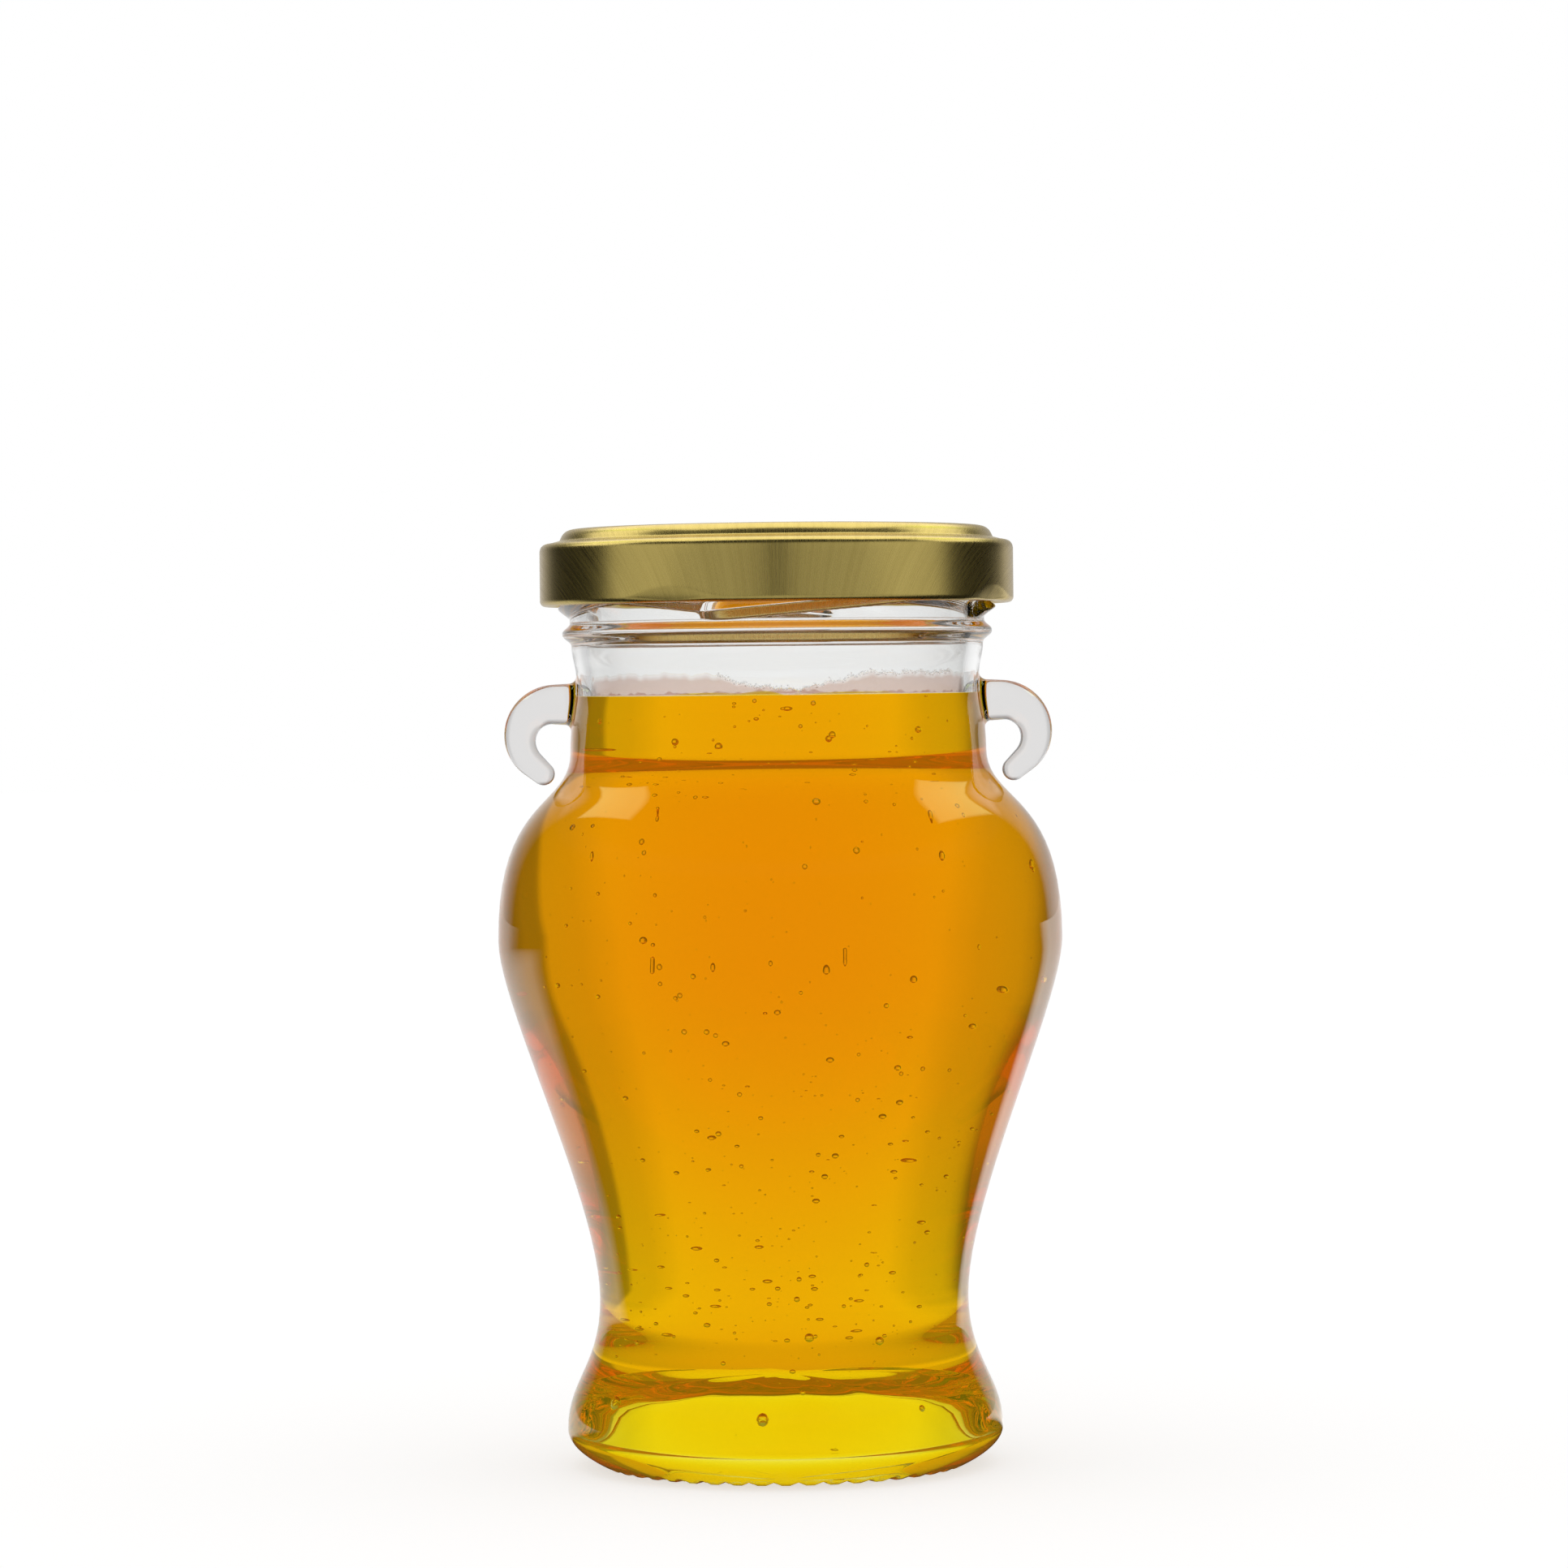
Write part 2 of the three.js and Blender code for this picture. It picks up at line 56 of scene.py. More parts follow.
# Outside of the glass, in millimetres
HEEL_RADIUS = 30.4
WAIST_RADIUS = 25.73
BELLY_RADIUS = 39.35
NECK_FOOT_RADIUS = 29.0
NECK_RADIUS = 28.1
COLLAR_RADIUS = 28.7
BEAD_HEIGHT = 1.15
FINISH_RADIUS = 28.9
BORE_RADIUS = 26.0
HEEL_LEVEL = 5.0
WAIST_LEVEL = 23.2
BELLY_LEVEL = 73.2
NECK_FOOT_LEVEL = 99.5
NECK_LEVEL = 110.0
COLLAR_LEVEL = 114.1
BEAD_TOP = 117.5
BEAD_STEPS = 14
BEAD_HOLLOW = 0.1
RIM_LEVEL = 129.2
BORE_SPREAD_END = 120.5
BORE_SPREAD_TOP = 127.0
RIM_OUTER_ROUND = 1.2
RIM_INNER_ROUND = 1.0
PUSH_UP = 3.8
FOOT_RING_INNER = 23.5
FOOT_RING_OUTER = 25.3

# Inside of the glass
FLOOR_LEVEL = 3.2
FLOOR_DOME = 7.0
FLOOR_CORNER = 6.4
DOME_REACH = 0.9
VALLEY_REACH = 0.97
FLOOR_STEPS = 18
HEEL_WALL = 3.8
FLOOR_WAVES = ((0.4, 3, 0.4), (0.3, 7, 1.9), (0.15, 11, 0.7))
WAVE_REACH = 12.0
WAVE_END = 14.5
WAVE_FADE = 4.0
WAIST_WALL = 3.2
BELLY_WALL = 2.8

# How far each stretch of the outline stays upright at its lower and its upper end
HEEL_FULLNESS = (0.37, 0.51)
WAIST_FULLNESS = (0.27, 0.18)
SHOULDER_FULLNESS = (0.78, 0.3)
NECK_FULLNESS = (0.4, 0.6)

# Rows and columns of the glass
GLASS_COLUMNS = 288
NECK_ROWS_BELOW_EAR = 4
NECK_ROWS_ABOVE_EAR = 7
MOUTH_ROWS = 54
SEARCH_STEPS = 40

# Grooves across the foot ring
GROOVE_COUNT = 48
GROOVE_DEPTH = 0.5
GROOVE_HALF_WIDTH = 1.0
GROOVE_INNER = 22.3

# Sloping ramps on the mouth
RAMP_COUNT = 4
RAMP_START = 69.3
RAMP_SWEEP = 120.0
RAMP_TAPER = 9.0
RAMP_LOW_LEVEL = 118.37
RAMP_LEAD = 16.0
RAMP_HEIGHT = 1.6
RAMP_HALF_ROOT = 1.25
RAMP_HALF_CREST = 0.05
RAMP_TOP_LEVEL = 125.0

# Hooked ears
EAR_LEVEL = 106.1
EAR_START = 27.2
EAR_LOOP_X = 31.3
EAR_LOOP_RADIUS = 4.7
EAR_LOOP_TURN = 138.0
EAR_TIP_LENGTH = 2.2
EAR_ROOT_HALF = (2.95, 3.3)
EAR_TIP_HALF = (1.6, 2.1)
EAR_TAPER_POWER = 1.4
EAR_SQUARENESS = 2.2
EAR_FILLET = 1.0
EAR_HOLE_COLUMNS = 8
EAR_HOLE_ROWS = 16
EAR_HOLE_HALF = 4.4
EAR_WALL_RINGS = 8
EAR_PATCH_SHARES = (0.35, 0.7, 1.0)
EAR_FILLET_STEPS = 8
EAR_STEPS = 44
EAR_TIP_STEPS = 8
EAR_BLEND = 2.6
EAR_SLOT = 2

# Honey
HONEY_GAP = 0.06
CONTACT_LEVEL = 107.05
MENISCUS_RISE = 0.15
MENISCUS_REACH = 1.1
SKIN_DEPTH = 0.05
SKIN_THICKNESS = 0.03
SLIT_INSET = 0.02
HONEY_COLUMNS = 144
HONEY_TOP_STEPS = 24
HONEY_IOR = 1.49
BUBBLE_LOWEST = 12.5
BUBBLE_MARGIN = 1.5
BUBBLE_ROUNDNESS = 2

# Larger bubbles that show in the photograph: place and radius
LARGE_BUBBLES = (
    (4.9, -29.0, 91.8, 0.62), (-27.5, -20.0, 88.9, 0.5), (-24.6, -22.5, 89.0, 0.32),
    (-17.4, -28.0, 85.4, 0.36), (9.9, -31.0, 85.5, 0.5), (3.2, -31.0, 83.4, 0.38),
    (-12.8, -30.0, 67.5, 0.4), (-12.4, -29.5, 62.6, 0.42), (-8.3, -29.5, 62.2, 0.36),
    (-5.3, -26.5, 54.2, 0.36), (17.5, -21.5, 57.3, 0.36), (20.6, -18.0, 57.0, 0.3),
    (1.6, -20.0, 25.1, 0.42), (1.9, -20.0, 28.0, 0.36), (3.1, -19.6, 19.4, 0.68), (12.0, -17.5, 18.5, 0.66),
    (-20.8, -10.5, 8.6, 0.9), (-2.8, -20.3, 7.7, 0.8), (16.9, -15.6, 8.3, 0.42), (2.2, -20.5, 11.2, 0.35),
    (-3.0, -24.6, 106.2, 0.32), (4.6, -24.5, 105.8, 0.38), (2.9, -24.6, 102.7, 0.3),
)

# Thin honey that clings to the neck: levels above the honey, angles from the front, ragged waves
FILM_MIDDLE = 3.0
FILM_LOW = 0.9
FILM_RISE = 2.1
FILM_RISE_START = 3.0
FILM_RISE_SPAN = 24.0
FILM_DROP = 2.6
FILM_DROP_START = 60.0
FILM_DROP_SPAN = 30.0
FILM_LEAST = 0.25
FILM_RAGS = ((0.16, 23, 1.0), (0.12, 57, 0.0), (0.09, 101, 2.0))
FILM_GAP = 0.04
FILM_EDGE = 0.01
FILM_SWELL = 0.1
FILM_COLUMNS = 480
FILM_SHARES = (0.0, 0.02, 0.2, 0.4, 0.6, 0.8, 0.985, 1.0)
FILM_THINNING = 0.7

# Beads along the upper edge of the clinging honey
BEAD_SPAN = (-108.0, -28.0)
BEAD_SCATTER = 0.16
BEAD_SIZES = (0.06, 0.15)
BEAD_INSET = 0.3

# Lid and sealing ring
SHEET = 0.25
CROWN_LEVEL = 130.275
PANEL_LEVEL = 129.175
PANEL_RADIUS = 24.3
CROWN_INNER = 25.5
CROWN_OUTER = 28.2
CROWN_ROUND = 1.6
RISER_TANGENT = 0.84
GUTTER_RADIUS = 30.15
GUTTER_LEVEL = 128.705
SHOULDER_LEVEL = 128.305
SHOULDER_ROUND = 1.2
SKIRT_RADIUS = 32.875
CURL_CENTRE = 32.25
CURL_ROUND = 0.625
CURL_LEVEL = 120.45
CURL_TURN = 290.0
LUG_AZIMUTH = 64.3
LUG_HALF_FLAT = 1.0
LUG_HALF_WIDTH = 13.5
LUG_DEPTH = 1.9
LUG_BEND = 1.6
LUG_SKIRT_SHARE = 0.3
LUG_MIDDLE = 120.0
LUG_FLATNESS = 0.35
SEAL_INNER = 25.9
SEAL_BOTTOM = 129.3
SEAL_TOP = 130.05
SEAL_CHAMFER = 0.4
SEAL_ROUND = 0.15
SEAL_GROOVE = 0.16
SEAL_SLOPE = 0.2
SEAL_COLUMNS = 192
LID_COLUMNS = 288

HONEY_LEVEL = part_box("honey_fill")[1].z / MM

# Group of pieces that have lamps of their own
LID_GROUP = "lit_lid"

# Finishes: depth of the waves in the glass, in metres, and bending of light in the thin film
GLASS_WAVE_DEPTH = 0.0006
FILM_IOR = 1.06

# Waves and grains: how many to a metre
OUTER_WAVES = 70.0
WET_WAVES = 90.0
EAR_WAVES = 110.0
HONEY_SWELLS = 120.0
SEAL_GRAINS = 700.0
FILM_GRAINS = 900.0
CLOUD_SPAN = (0.3, 0.7)
LACQUER_SPREAD = (-0.05, 0.06)

# Brightness of the studio: degrees to the right of straight behind the jar, and level.
# The sides are given for the right and are the same on the left
PANEL_LEVELS = (
    (-66, 0.1), (-62, 0.14), (-56, 0.35), (-51, 0.56), (-45, 0.68), (-31, 0.75), (-25, 0.87), (-22, 0.95),
    (22, 0.95), (25, 0.87), (31, 0.75), (41, 0.73), (44, 0.3), (52, 0.3), (58, 0.2), (66, 0.1),
)
ROOM_SIDES = ((100, 0.22), (112, 0.38), (132, 0.46), (150, 0.5), (166, 0.55), (180, 0.62))
FLOOR_SIDES = ((82, 0.34), (100, 0.52), (140, 0.62), (180, 0.75))
FLOOR_LIT = 0.7
FLOOR_DIM = 2.0
MIRROR_LEVELS = (
    (-180, 0.012), (-40, 0.012), (-36, 0.2), (-27, 0.5), (-17, 0.8), (-10, 0.8), (12, 0.62), (30, 0.66),
    (36, 0.5), (41, 0.012), (180, 0.012),
)
FLOOR_MIRROR_RIGHT = (
    (-10, 0.85), (10, 0.9), (24, 0.92), (32, 1.05), (40, 1.3), (45, 0.9), (49, 0.012), (180, 0.012),
)
NEAR_MIRROR_LEFT = ((-180, 0.012), (-70, 0.012), (-60, 0.85), (-40, 0.9))
FAR_MIRROR_LEFT = ((-180, 0.012), (-48, 0.012), (-42, 0.25), (-34, 0.7))
MIRROR_NEAR = 0.4
MIRROR_FAR = 1.0
SHOULDER_MIDDLE = (0.0, 0.0, 0.094)
CARD_DISTANCE = 0.85
LEFT_CARD = ((-50, 33), (-79, 50), (-63, 57), (-45, 40))
RIGHT_CARD = ((44, 28), (82, 45), (61, 55), (42, 37))
FLOOR_NEAR = 0.05
FLOOR_FAR = 0.15
# Painted shadow: where glass shows the floor, its glow falls to UNDER_LEVEL under the jar and comes back to
# full between UNDER_JAR and BESIDE_JAR.
UNDER_JAR = 0.026
BESIDE_JAR = 0.055
UNDER_LEVEL = 0.3
BASE_LEVEL = 0.95

# How the studio's brightness changes as a ray points higher: from, to, and the factor at each
CEILING_FADE = (0.5, 0.8, 1.0, 0.15)
PANEL_FADE = (0.0, 0.35, 1.15, 0.55)
PANEL_STRIP = (0.42, 0.47, 1.0, 3.0)
PANEL_TOP = (0.56, 0.64, 1.0, 0.0)

# Soft boxes that light the lid: place and size in metres, with the right-hand one of each pair
LID_MIDDLE = (0.0, 0.0, 0.125)
SIDE_BOX = ((0.92, -0.37, 0.3), (0.72, 0.6))
FRONT_BOX = ((0.72, -1.429, 0.35), (1.309, 1.0))
HIGH_BOX = ((0.629, 0.229, 0.618), (0.55, 0.38))
TOP_BOX = ((0.0, 0.25, 1.1), (1.6, 1.6))
TABLE_BOX = ((0.0, -0.45, 0.004), (1.6, 0.7))
TABLE_AIM = (0.0, -0.45, 1.0)

# Floor, cards and light paths
FLOOR_HALF = 6.0
FLOOR_DROP = 0.0002
CARD_FADE = (0.4, 0.5)
CLEAR_BOUNCES = 32
GLOSSY_BOUNCES = 12


def smooth(share):
    """Ease from 0 to 1 with level ends."""
    share = min(max(share, 0.0), 1.0)
    return share * share * (3.0 - 2.0 * share)


def blend(low, high, share):
    """Value at a share of the way between two values."""
    return low + (high - low) * share


def straight(start, end, steps):
    """Points after the start on a straight line."""
    shares = [k / steps for k in range(1, steps + 1)]
    return [(blend(start[0], end[0], share), blend(start[1], end[1], share)) for share in shares]


def bend(start, control, end, steps):
    """Points after the start on a curve with one control point."""
    points = []
    for k in range(1, steps + 1):
        t = k / steps
        a, b, c = (1 - t) ** 2, 2 * t * (1 - t), t * t
        points.append(tuple(a * p + b * q + c * r for p, q, r in zip(start, control, end)))
    return points


def sweep(start, first, second, end, steps):
    """Points after the start on a curve with two control points."""
    points = []
    for k in range(1, steps + 1):
        t = k / steps
        a, b, c, d = (1 - t) ** 3, 3 * t * (1 - t) ** 2, 3 * t * t * (1 - t), t ** 3
        points.append(tuple(a * p + b * q + c * r + d * s for p, q, r, s in zip(start, first, second, end)))
    return points


def upright(start, end, fullness_start, fullness_end, steps):
    """Stretch of a profile that leaves and arrives upright."""
    rise = end[1] - start[1]
    first = (start[0], start[1] + fullness_start * rise)
    second = (end[0], end[1] - fullness_end * rise)
    return sweep(start, first, second, end, steps)


def arc(centre, radius, start, turn, steps):
    """Points after the start on a round stretch, with angles in degrees."""
    angles = [math.radians(start + turn * k / steps) for k in range(1, steps + 1)]
    return [(centre[0] + radius * math.cos(a), centre[1] + radius * math.sin(a)) for a in angles]


def offset(line, distance):
    """Line set off to the left of its own direction, with mitred bends."""
    moved = []
    for k, point in enumerate(line):
        here = Vector(point)
        before = Vector(line[max(k - 1, 0)])
        after = Vector(line[min(k + 1, len(line) - 1)])
        arriving = (here - before).normalized() if k else (after - here).normalized()
        leaving = (after - here).normalized() if k + 1 < len(line) else arriving
        along = (arriving + leaving).normalized()
        mitre = max(along.dot(leaving), 0.5)
        moved.append((here.x - along.y * distance / mitre, here.y + along.x * distance / mitre))
    return moved


class Skin:
    """Points and faces of one piece while it is made, in millimetres."""

    def __init__(self):
        self.points = []
        self.faces = []
        self.slots = []

    def ring(self, points):
        first = len(self.points)
        self.points.extend(points)
        return list(range(first, len(self.points)))

    def face(self, corners, slot=0):
        self.faces.append(corners)
        self.slots.append(slot)

    def bridge(self, low, high, slot=0):
        count = len(low)
        for k in range(count):
            after = (k + 1) % count
            self.face((low[k], low[after], high[after], high[k]), slot)

    def close(self, ring, point, slot=0):
        tip = self.ring([point])[0]
        for k in range(len(ring)):
            self.face((ring[k], ring[(k + 1) % len(ring)], tip), slot)

    def open_from(self, ring, point, slot=0):
        tip = self.ring([point])[0]
        for k in range(len(ring)):
            self.face((tip, ring[(k + 1) % len(ring)], ring[k]), slot)

    def add(self, mesh, slot, flipped=False):
        """Take over a finished mesh, with its faces turned round if asked."""
        first = len(self.points)
        self.points += [tuple(c / MM for c in vertex.co) for vertex in mesh.vertices]
        for polygon in mesh.polygons:
            corners = [first + corner for corner in polygon.vertices]
            self.face(tuple(reversed(corners)) if flipped else tuple(corners), slot)

    def join_inside_out(self, other):
        """Take over another skin, with its faces turned round."""
        first = len(self.points)
        self.points += other.points
        self.faces += [tuple(first + corner for corner in reversed(face)) for face in other.faces]
        self.slots += other.slots

    def mesh(self, name, materials):
        mesh = bpy.data.meshes.new(name)
        mesh.from_pydata([tuple(c * MM for c in point) for point in self.points], [], self.faces)
        for material in materials:
            mesh.materials.append(material)
        mesh.polygons.foreach_set("material_index", self.slots)
        mesh.polygons.foreach_set("use_smooth", [True] * len(self.faces))
        mesh.update()
        return mesh


def polar(radius, azimuth, level):
    """Point at a radius, an angle round the axis and a level."""
    return (radius * math.cos(azimuth), radius * math.sin(azimuth), level)


def turned(skin, profile, columns, slot_of=None, place=None, holes=()):
    """Skin of a profile turned about the axis; the profile starts and ends on the axis."""
    rings = []
    for k, (radius, level) in enumerate(profile[1:-1], start=1):
        ring = []
        for j in range(columns):
            azimuth = 2 * math.pi * j / columns
            spot = place(k, radius, level, azimuth) if place else (radius, level)
            ring.append(polar(spot[0], azimuth, spot[1]))
        rings.append(skin.ring(ring))
    slot_of = slot_of or (lambda k: 0)
    skin.open_from(rings[0], (0.0, 0.0, profile[0][1]), slot_of(0))
    for k in range(len(rings) - 1):
        for j in range(columns):
            if any(k in rows and j in gap for rows, gap in holes):
                continue
            after = (j + 1) % columns
            corners = (rings[k][j], rings[k][after], rings[k + 1][after], rings[k + 1][j])
            skin.face(corners, slot_of(k + 1))
    skin.close(rings[-1], (0.0, 0.0, profile[-1][1]), slot_of(len(profile) - 2))
    return rings


def new_object(name, mesh, body, slot, *nodes):
    """Place a finished mesh in the scene, on its body and in its CAD node's stead."""
    piece = bpy.data.objects.new(name, mesh)
    bpy.context.scene.collection.objects.link(piece)
    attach(piece, body)
    if nodes:
        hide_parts(*nodes)
    return piece


# Profiles and forms of the glass

def neck_radius(level):
    """Outer radius between the foot of the neck and the collar."""
    if level >= NECK_LEVEL:
        rise = COLLAR_LEVEL - NECK_LEVEL
        share = (level - NECK_LEVEL) / rise
        return blend(NECK_RADIUS, COLLAR_RADIUS, smooth(share))
    rise = NECK_LEVEL - NECK_FOOT_LEVEL
    goal = (level - NECK_FOOT_LEVEL) / rise
    low, high = 0.0, 1.0
    first, second = (3 * fullness for fullness in NECK_FULLNESS)
    for _ in range(SEARCH_STEPS):
        t = (low + high) / 2
        height = first * t * (1 - t) ** 2 + second * t * t * (1 - t) + t ** 3
        if height < goal:
            low = t
        else:
            high = t
    return blend(NECK_FOOT_RADIUS, NECK_RADIUS, smooth((low + high) / 2))


def bore_radius(level):
    """Inner radius of the neck and mouth, which follows the outside of the neck up to the lid."""
    if level < COLLAR_LEVEL:
        return BORE_RADIUS + neck_radius(max(level, NECK_FOOT_LEVEL)) - NECK_RADIUS
    back = smooth((level - BORE_SPREAD_END) / (BORE_SPREAD_TOP - BORE_SPREAD_END))
    return BORE_RADIUS + (COLLAR_RADIUS - NECK_RADIUS) * (1.0 - back)


def bore_line(start, end, steps):
    """Inside of the neck and mouth between two levels, without its start."""
    levels = [blend(start, end, k / steps) for k in range(1, steps + 1)]
    return [(bore_radius(level), level) for level in levels]


def bead_profile():
    """Round bead between the neck and the mouth, with a hollow on each side of it."""
    line = []
    for k in range(1, BEAD_STEPS + 1):
        share = k / BEAD_STEPS
        inward = 1.0 - abs(2.0 * share - 1.0)
        height = BEAD_HEIGHT * smooth((inward - BEAD_HOLLOW) / (1.0 - 2 * BEAD_HOLLOW))
        radius = blend(COLLAR_RADIUS, FINISH_RADIUS, share) + height
        line.append((radius, blend(COLLAR_LEVEL, BEAD_TOP, share)))
    return line


def neck_levels():
    """Levels of the rows on the neck, with even rows where an ear grows out of it."""
    low = EAR_LEVEL - EAR_HOLE_HALF
    high = EAR_LEVEL + EAR_HOLE_HALF
    rows = NECK_ROWS_BELOW_EAR
    below = [blend(NECK_FOOT_LEVEL, low, k / rows) for k in range(1, rows + 1)]
    beside = [blend(low, high, k / EAR_HOLE_ROWS) for k in range(1, EAR_HOLE_ROWS + 1)]
    rows = NECK_ROWS_ABOVE_EAR
    above = [blend(high, COLLAR_LEVEL, k / rows) for k in range(1, rows + 1)]
    return below + beside + above


def cavity_profile():
    """Inside of the glass from the middle of the floor to the foot of the neck."""
    floor_edge = HEEL_RADIUS - HEEL_WALL - FLOOR_CORNER
    corner_level = FLOOR_LEVEL + FLOOR_CORNER
    heel = (HEEL_RADIUS - HEEL_WALL, corner_level)
    waist = (WAIST_RADIUS - WAIST_WALL, WAIST_LEVEL)
    belly = (BELLY_RADIUS - BELLY_WALL, BELLY_LEVEL)
    bore = (bore_radius(NECK_FOOT_LEVEL), NECK_FOOT_LEVEL)
    line = [(0.0, FLOOR_LEVEL + FLOOR_DOME)]
    dome = (DOME_REACH * floor_edge, FLOOR_LEVEL + FLOOR_DOME)
    valley = (VALLEY_REACH * floor_edge, FLOOR_LEVEL)
    line += sweep(line[0], dome, valley, (floor_edge, FLOOR_LEVEL), FLOOR_STEPS)
    line += arc((floor_edge, corner_level), FLOOR_CORNER, -90, 90, 10)
    line += upright(heel, waist, *HEEL_FULLNESS, 12)
    line += upright(waist, belly, *WAIST_FULLNESS, 22)
    line += upright(belly, bore, *SHOULDER_FULLNESS, 20)
    return line


def floor_swell(radius, level, azimuth):
    """How far the pressed floor swells up and down round the edge of its dome."""
    height = min(max((level - FLOOR_LEVEL) / FLOOR_DOME, 0.0), 1.0)
    on_edge = smooth(radius / WAVE_REACH) * (1.0 - smooth((radius - WAVE_END) / WAVE_FADE))
    wave = sum(rise * math.sin(count * azimuth + start) for rise, count, start in FLOOR_WAVES)
    return height * on_edge * wave


def groove(radius, azimuth):
    """Height that the grooves in the foot ring reach."""
    pitch = 2 * math.pi / GROOVE_COUNT
    off = (azimuth / pitch) % 1.0 - 0.5
    across = abs(off) * pitch * radius / GROOVE_HALF_WIDTH
    fade = smooth((radius - GROOVE_INNER) / (FOOT_RING_INNER - GROOVE_INNER))
    return GROOVE_DEPTH * fade * smooth(1.0 - across)


def ramp_height(azimuth, level):
    """How far the closing ramps stand out of the mouth."""
    height = 0.0
    for copy in range(RAMP_COUNT):
        turn = (math.degrees(azimuth) - RAMP_START - copy * 360 / RAMP_COUNT) % 360
        if turn > RAMP_SWEEP:
            continue
        away = abs(level - RAMP_LOW_LEVEL - turn * RAMP_LEAD / 360)
        flank = (RAMP_HALF_ROOT - away) / (RAMP_HALF_ROOT - RAMP_HALF_CREST)
        near_end = min(turn, RAMP_SWEEP - turn)
        height = max(height, RAMP_HEIGHT * smooth(near_end / RAMP_TAPER) * min(max(flank, 0.0), 1.0))
    return height


def ear_line(length):
    """Place and heading on an ear's middle line, in radius and height."""
    loop_level = EAR_LEVEL - EAR_LOOP_RADIUS
    out = EAR_LOOP_X - EAR_START
    bow = EAR_LOOP_RADIUS * math.radians(EAR_LOOP_TURN)
    if length <= out:
        return (EAR_START + length, EAR_LEVEL), (1.0, 0.0)
    turn = min((length - out) / EAR_LOOP_RADIUS, math.radians(EAR_LOOP_TURN))
    heading = (math.cos(turn), -math.sin(turn))
    spot = (EAR_LOOP_X + EAR_LOOP_RADIUS * math.sin(turn), loop_level + EAR_LOOP_RADIUS * math.cos(turn))
    beyond = max(length - out - bow, 0.0)
    return (spot[0] + beyond * heading[0], spot[1] + beyond * heading[1]), heading


def round_square(corner, half_up, half_across):
    """Point of a rounded rectangle in the direction of a square's border point."""
    angle = math.atan2(corner[1], corner[0])
    cosine, sine = math.cos(angle), math.sin(angle)
    power = 2 / EAR_SQUARENESS
    across = half_across * math.copysign(abs(cosine) ** power, cosine)
    up = half_up * math.copysign(abs(sine) ** power, sine)
    return across, up


def grow_ear(skin, border, flipped):
    """Ear from the border of its hole in the neck, through its fillet, round to its tip."""
    side = -1.0 if flipped else 1.0

    def put(points):
        return skin.ring([(side * x, side * y, z) for x, y, z in points])

    half_turn = math.radians(EAR_HOLE_COLUMNS * 360 / GLASS_COLUMNS)
    corners = []
    outline = []
    for index in border:
        x, y, z = skin.points[index]
        across = math.atan2(side * y, side * x)
        corners.append((across / half_turn, (z - EAR_LEVEL) / EAR_HOLE_HALF))
        outline.append((side * y, z))
    total = EAR_LOOP_X - EAR_START + EAR_LOOP_RADIUS * math.radians(EAR_LOOP_TURN) + EAR_TIP_LENGTH
    wall_length = neck_radius(EAR_LEVEL) - EAR_START

    def halves(length, fillet):
        share = (length / total) ** EAR_TAPER_POWER
        up = blend(EAR_ROOT_HALF[0], EAR_TIP_HALF[0], share) + fillet
        across = blend(EAR_ROOT_HALF[1], EAR_TIP_HALF[1], share) + fillet
        return up, across

    def wall_x(y, z):
        return math.sqrt(neck_radius(z) ** 2 - y * y)

    rings = [border]
    up, across = halves(wall_length, EAR_FILLET)
    for share in EAR_PATCH_SHARES:
        points = []
        for corner, (y, z) in zip(corners, outline):
            u, v = round_square(corner, up, across)
            y_on = blend(y, u, share)
            z_on = blend(z, EAR_LEVEL + v, share)
            points.append((wall_x(y_on, z_on), y_on, z_on))
        rings.append(put(points))
    steps = EAR_FILLET_STEPS
    fillet_turns = [math.radians(90 * k / steps) for k in range(1, steps + 1)]
    stations = [(1 - math.cos(t), EAR_FILLET * (1 - math.sin(t))) for t in fillet_turns]
    stations = [(EAR_FILLET * away, fillet) for away, fillet in stations]
    rest = total - wall_length - EAR_FILLET
    stations += [(EAR_FILLET + rest * k / EAR_STEPS, 0.0) for k in range(1, EAR_STEPS + 1)]
    for away, fillet in stations:
        length = wall_length + away
        up, across = halves(length, fillet)
        spot, heading = ear_line(length)
        points = []
        for corner in corners:
            u, v = round_square(corner, up, across)
            x = spot[0] - heading[1] * v
            z = spot[1] + heading[0] * v
            near = 1.0 - smooth(away / EAR_BLEND)
            if near > 0.0:
                x = blend(x, wall_x(u, min(z, COLLAR_LEVEL)) + away, near)
            points.append((x, u, z))
        rings.append(put(points))
    tip, heading = ear_line(total)
    for k in range(1, EAR_TIP_STEPS):
        turn = math.radians(90 * k / EAR_TIP_STEPS)
        reach = EAR_TIP_HALF[0] * math.sin(turn)
        up, across = (half * math.cos(turn) for half in EAR_TIP_HALF)
        points = []
        for corner in corners:
            u, v = round_square(corner, up, across)
            x = tip[0] + reach * heading[0] - heading[1] * v
            z = tip[1] + reach * heading[1] + heading[0] * v
            points.append((x, u, z))
        rings.append(put(points))
    for k, (low, high) in enumerate(zip(rings, rings[1:])):
        skin.bridge(low, high, EAR_SLOT if k >= EAR_WALL_RINGS else 0)
    end = (tip[0] + EAR_TIP_HALF[0] * heading[0], 0.0, tip[1] + EAR_TIP_HALF[0] * heading[1])
    skin.close(rings[-1], (side * end[0], 0.0, end[2]), EAR_SLOT)


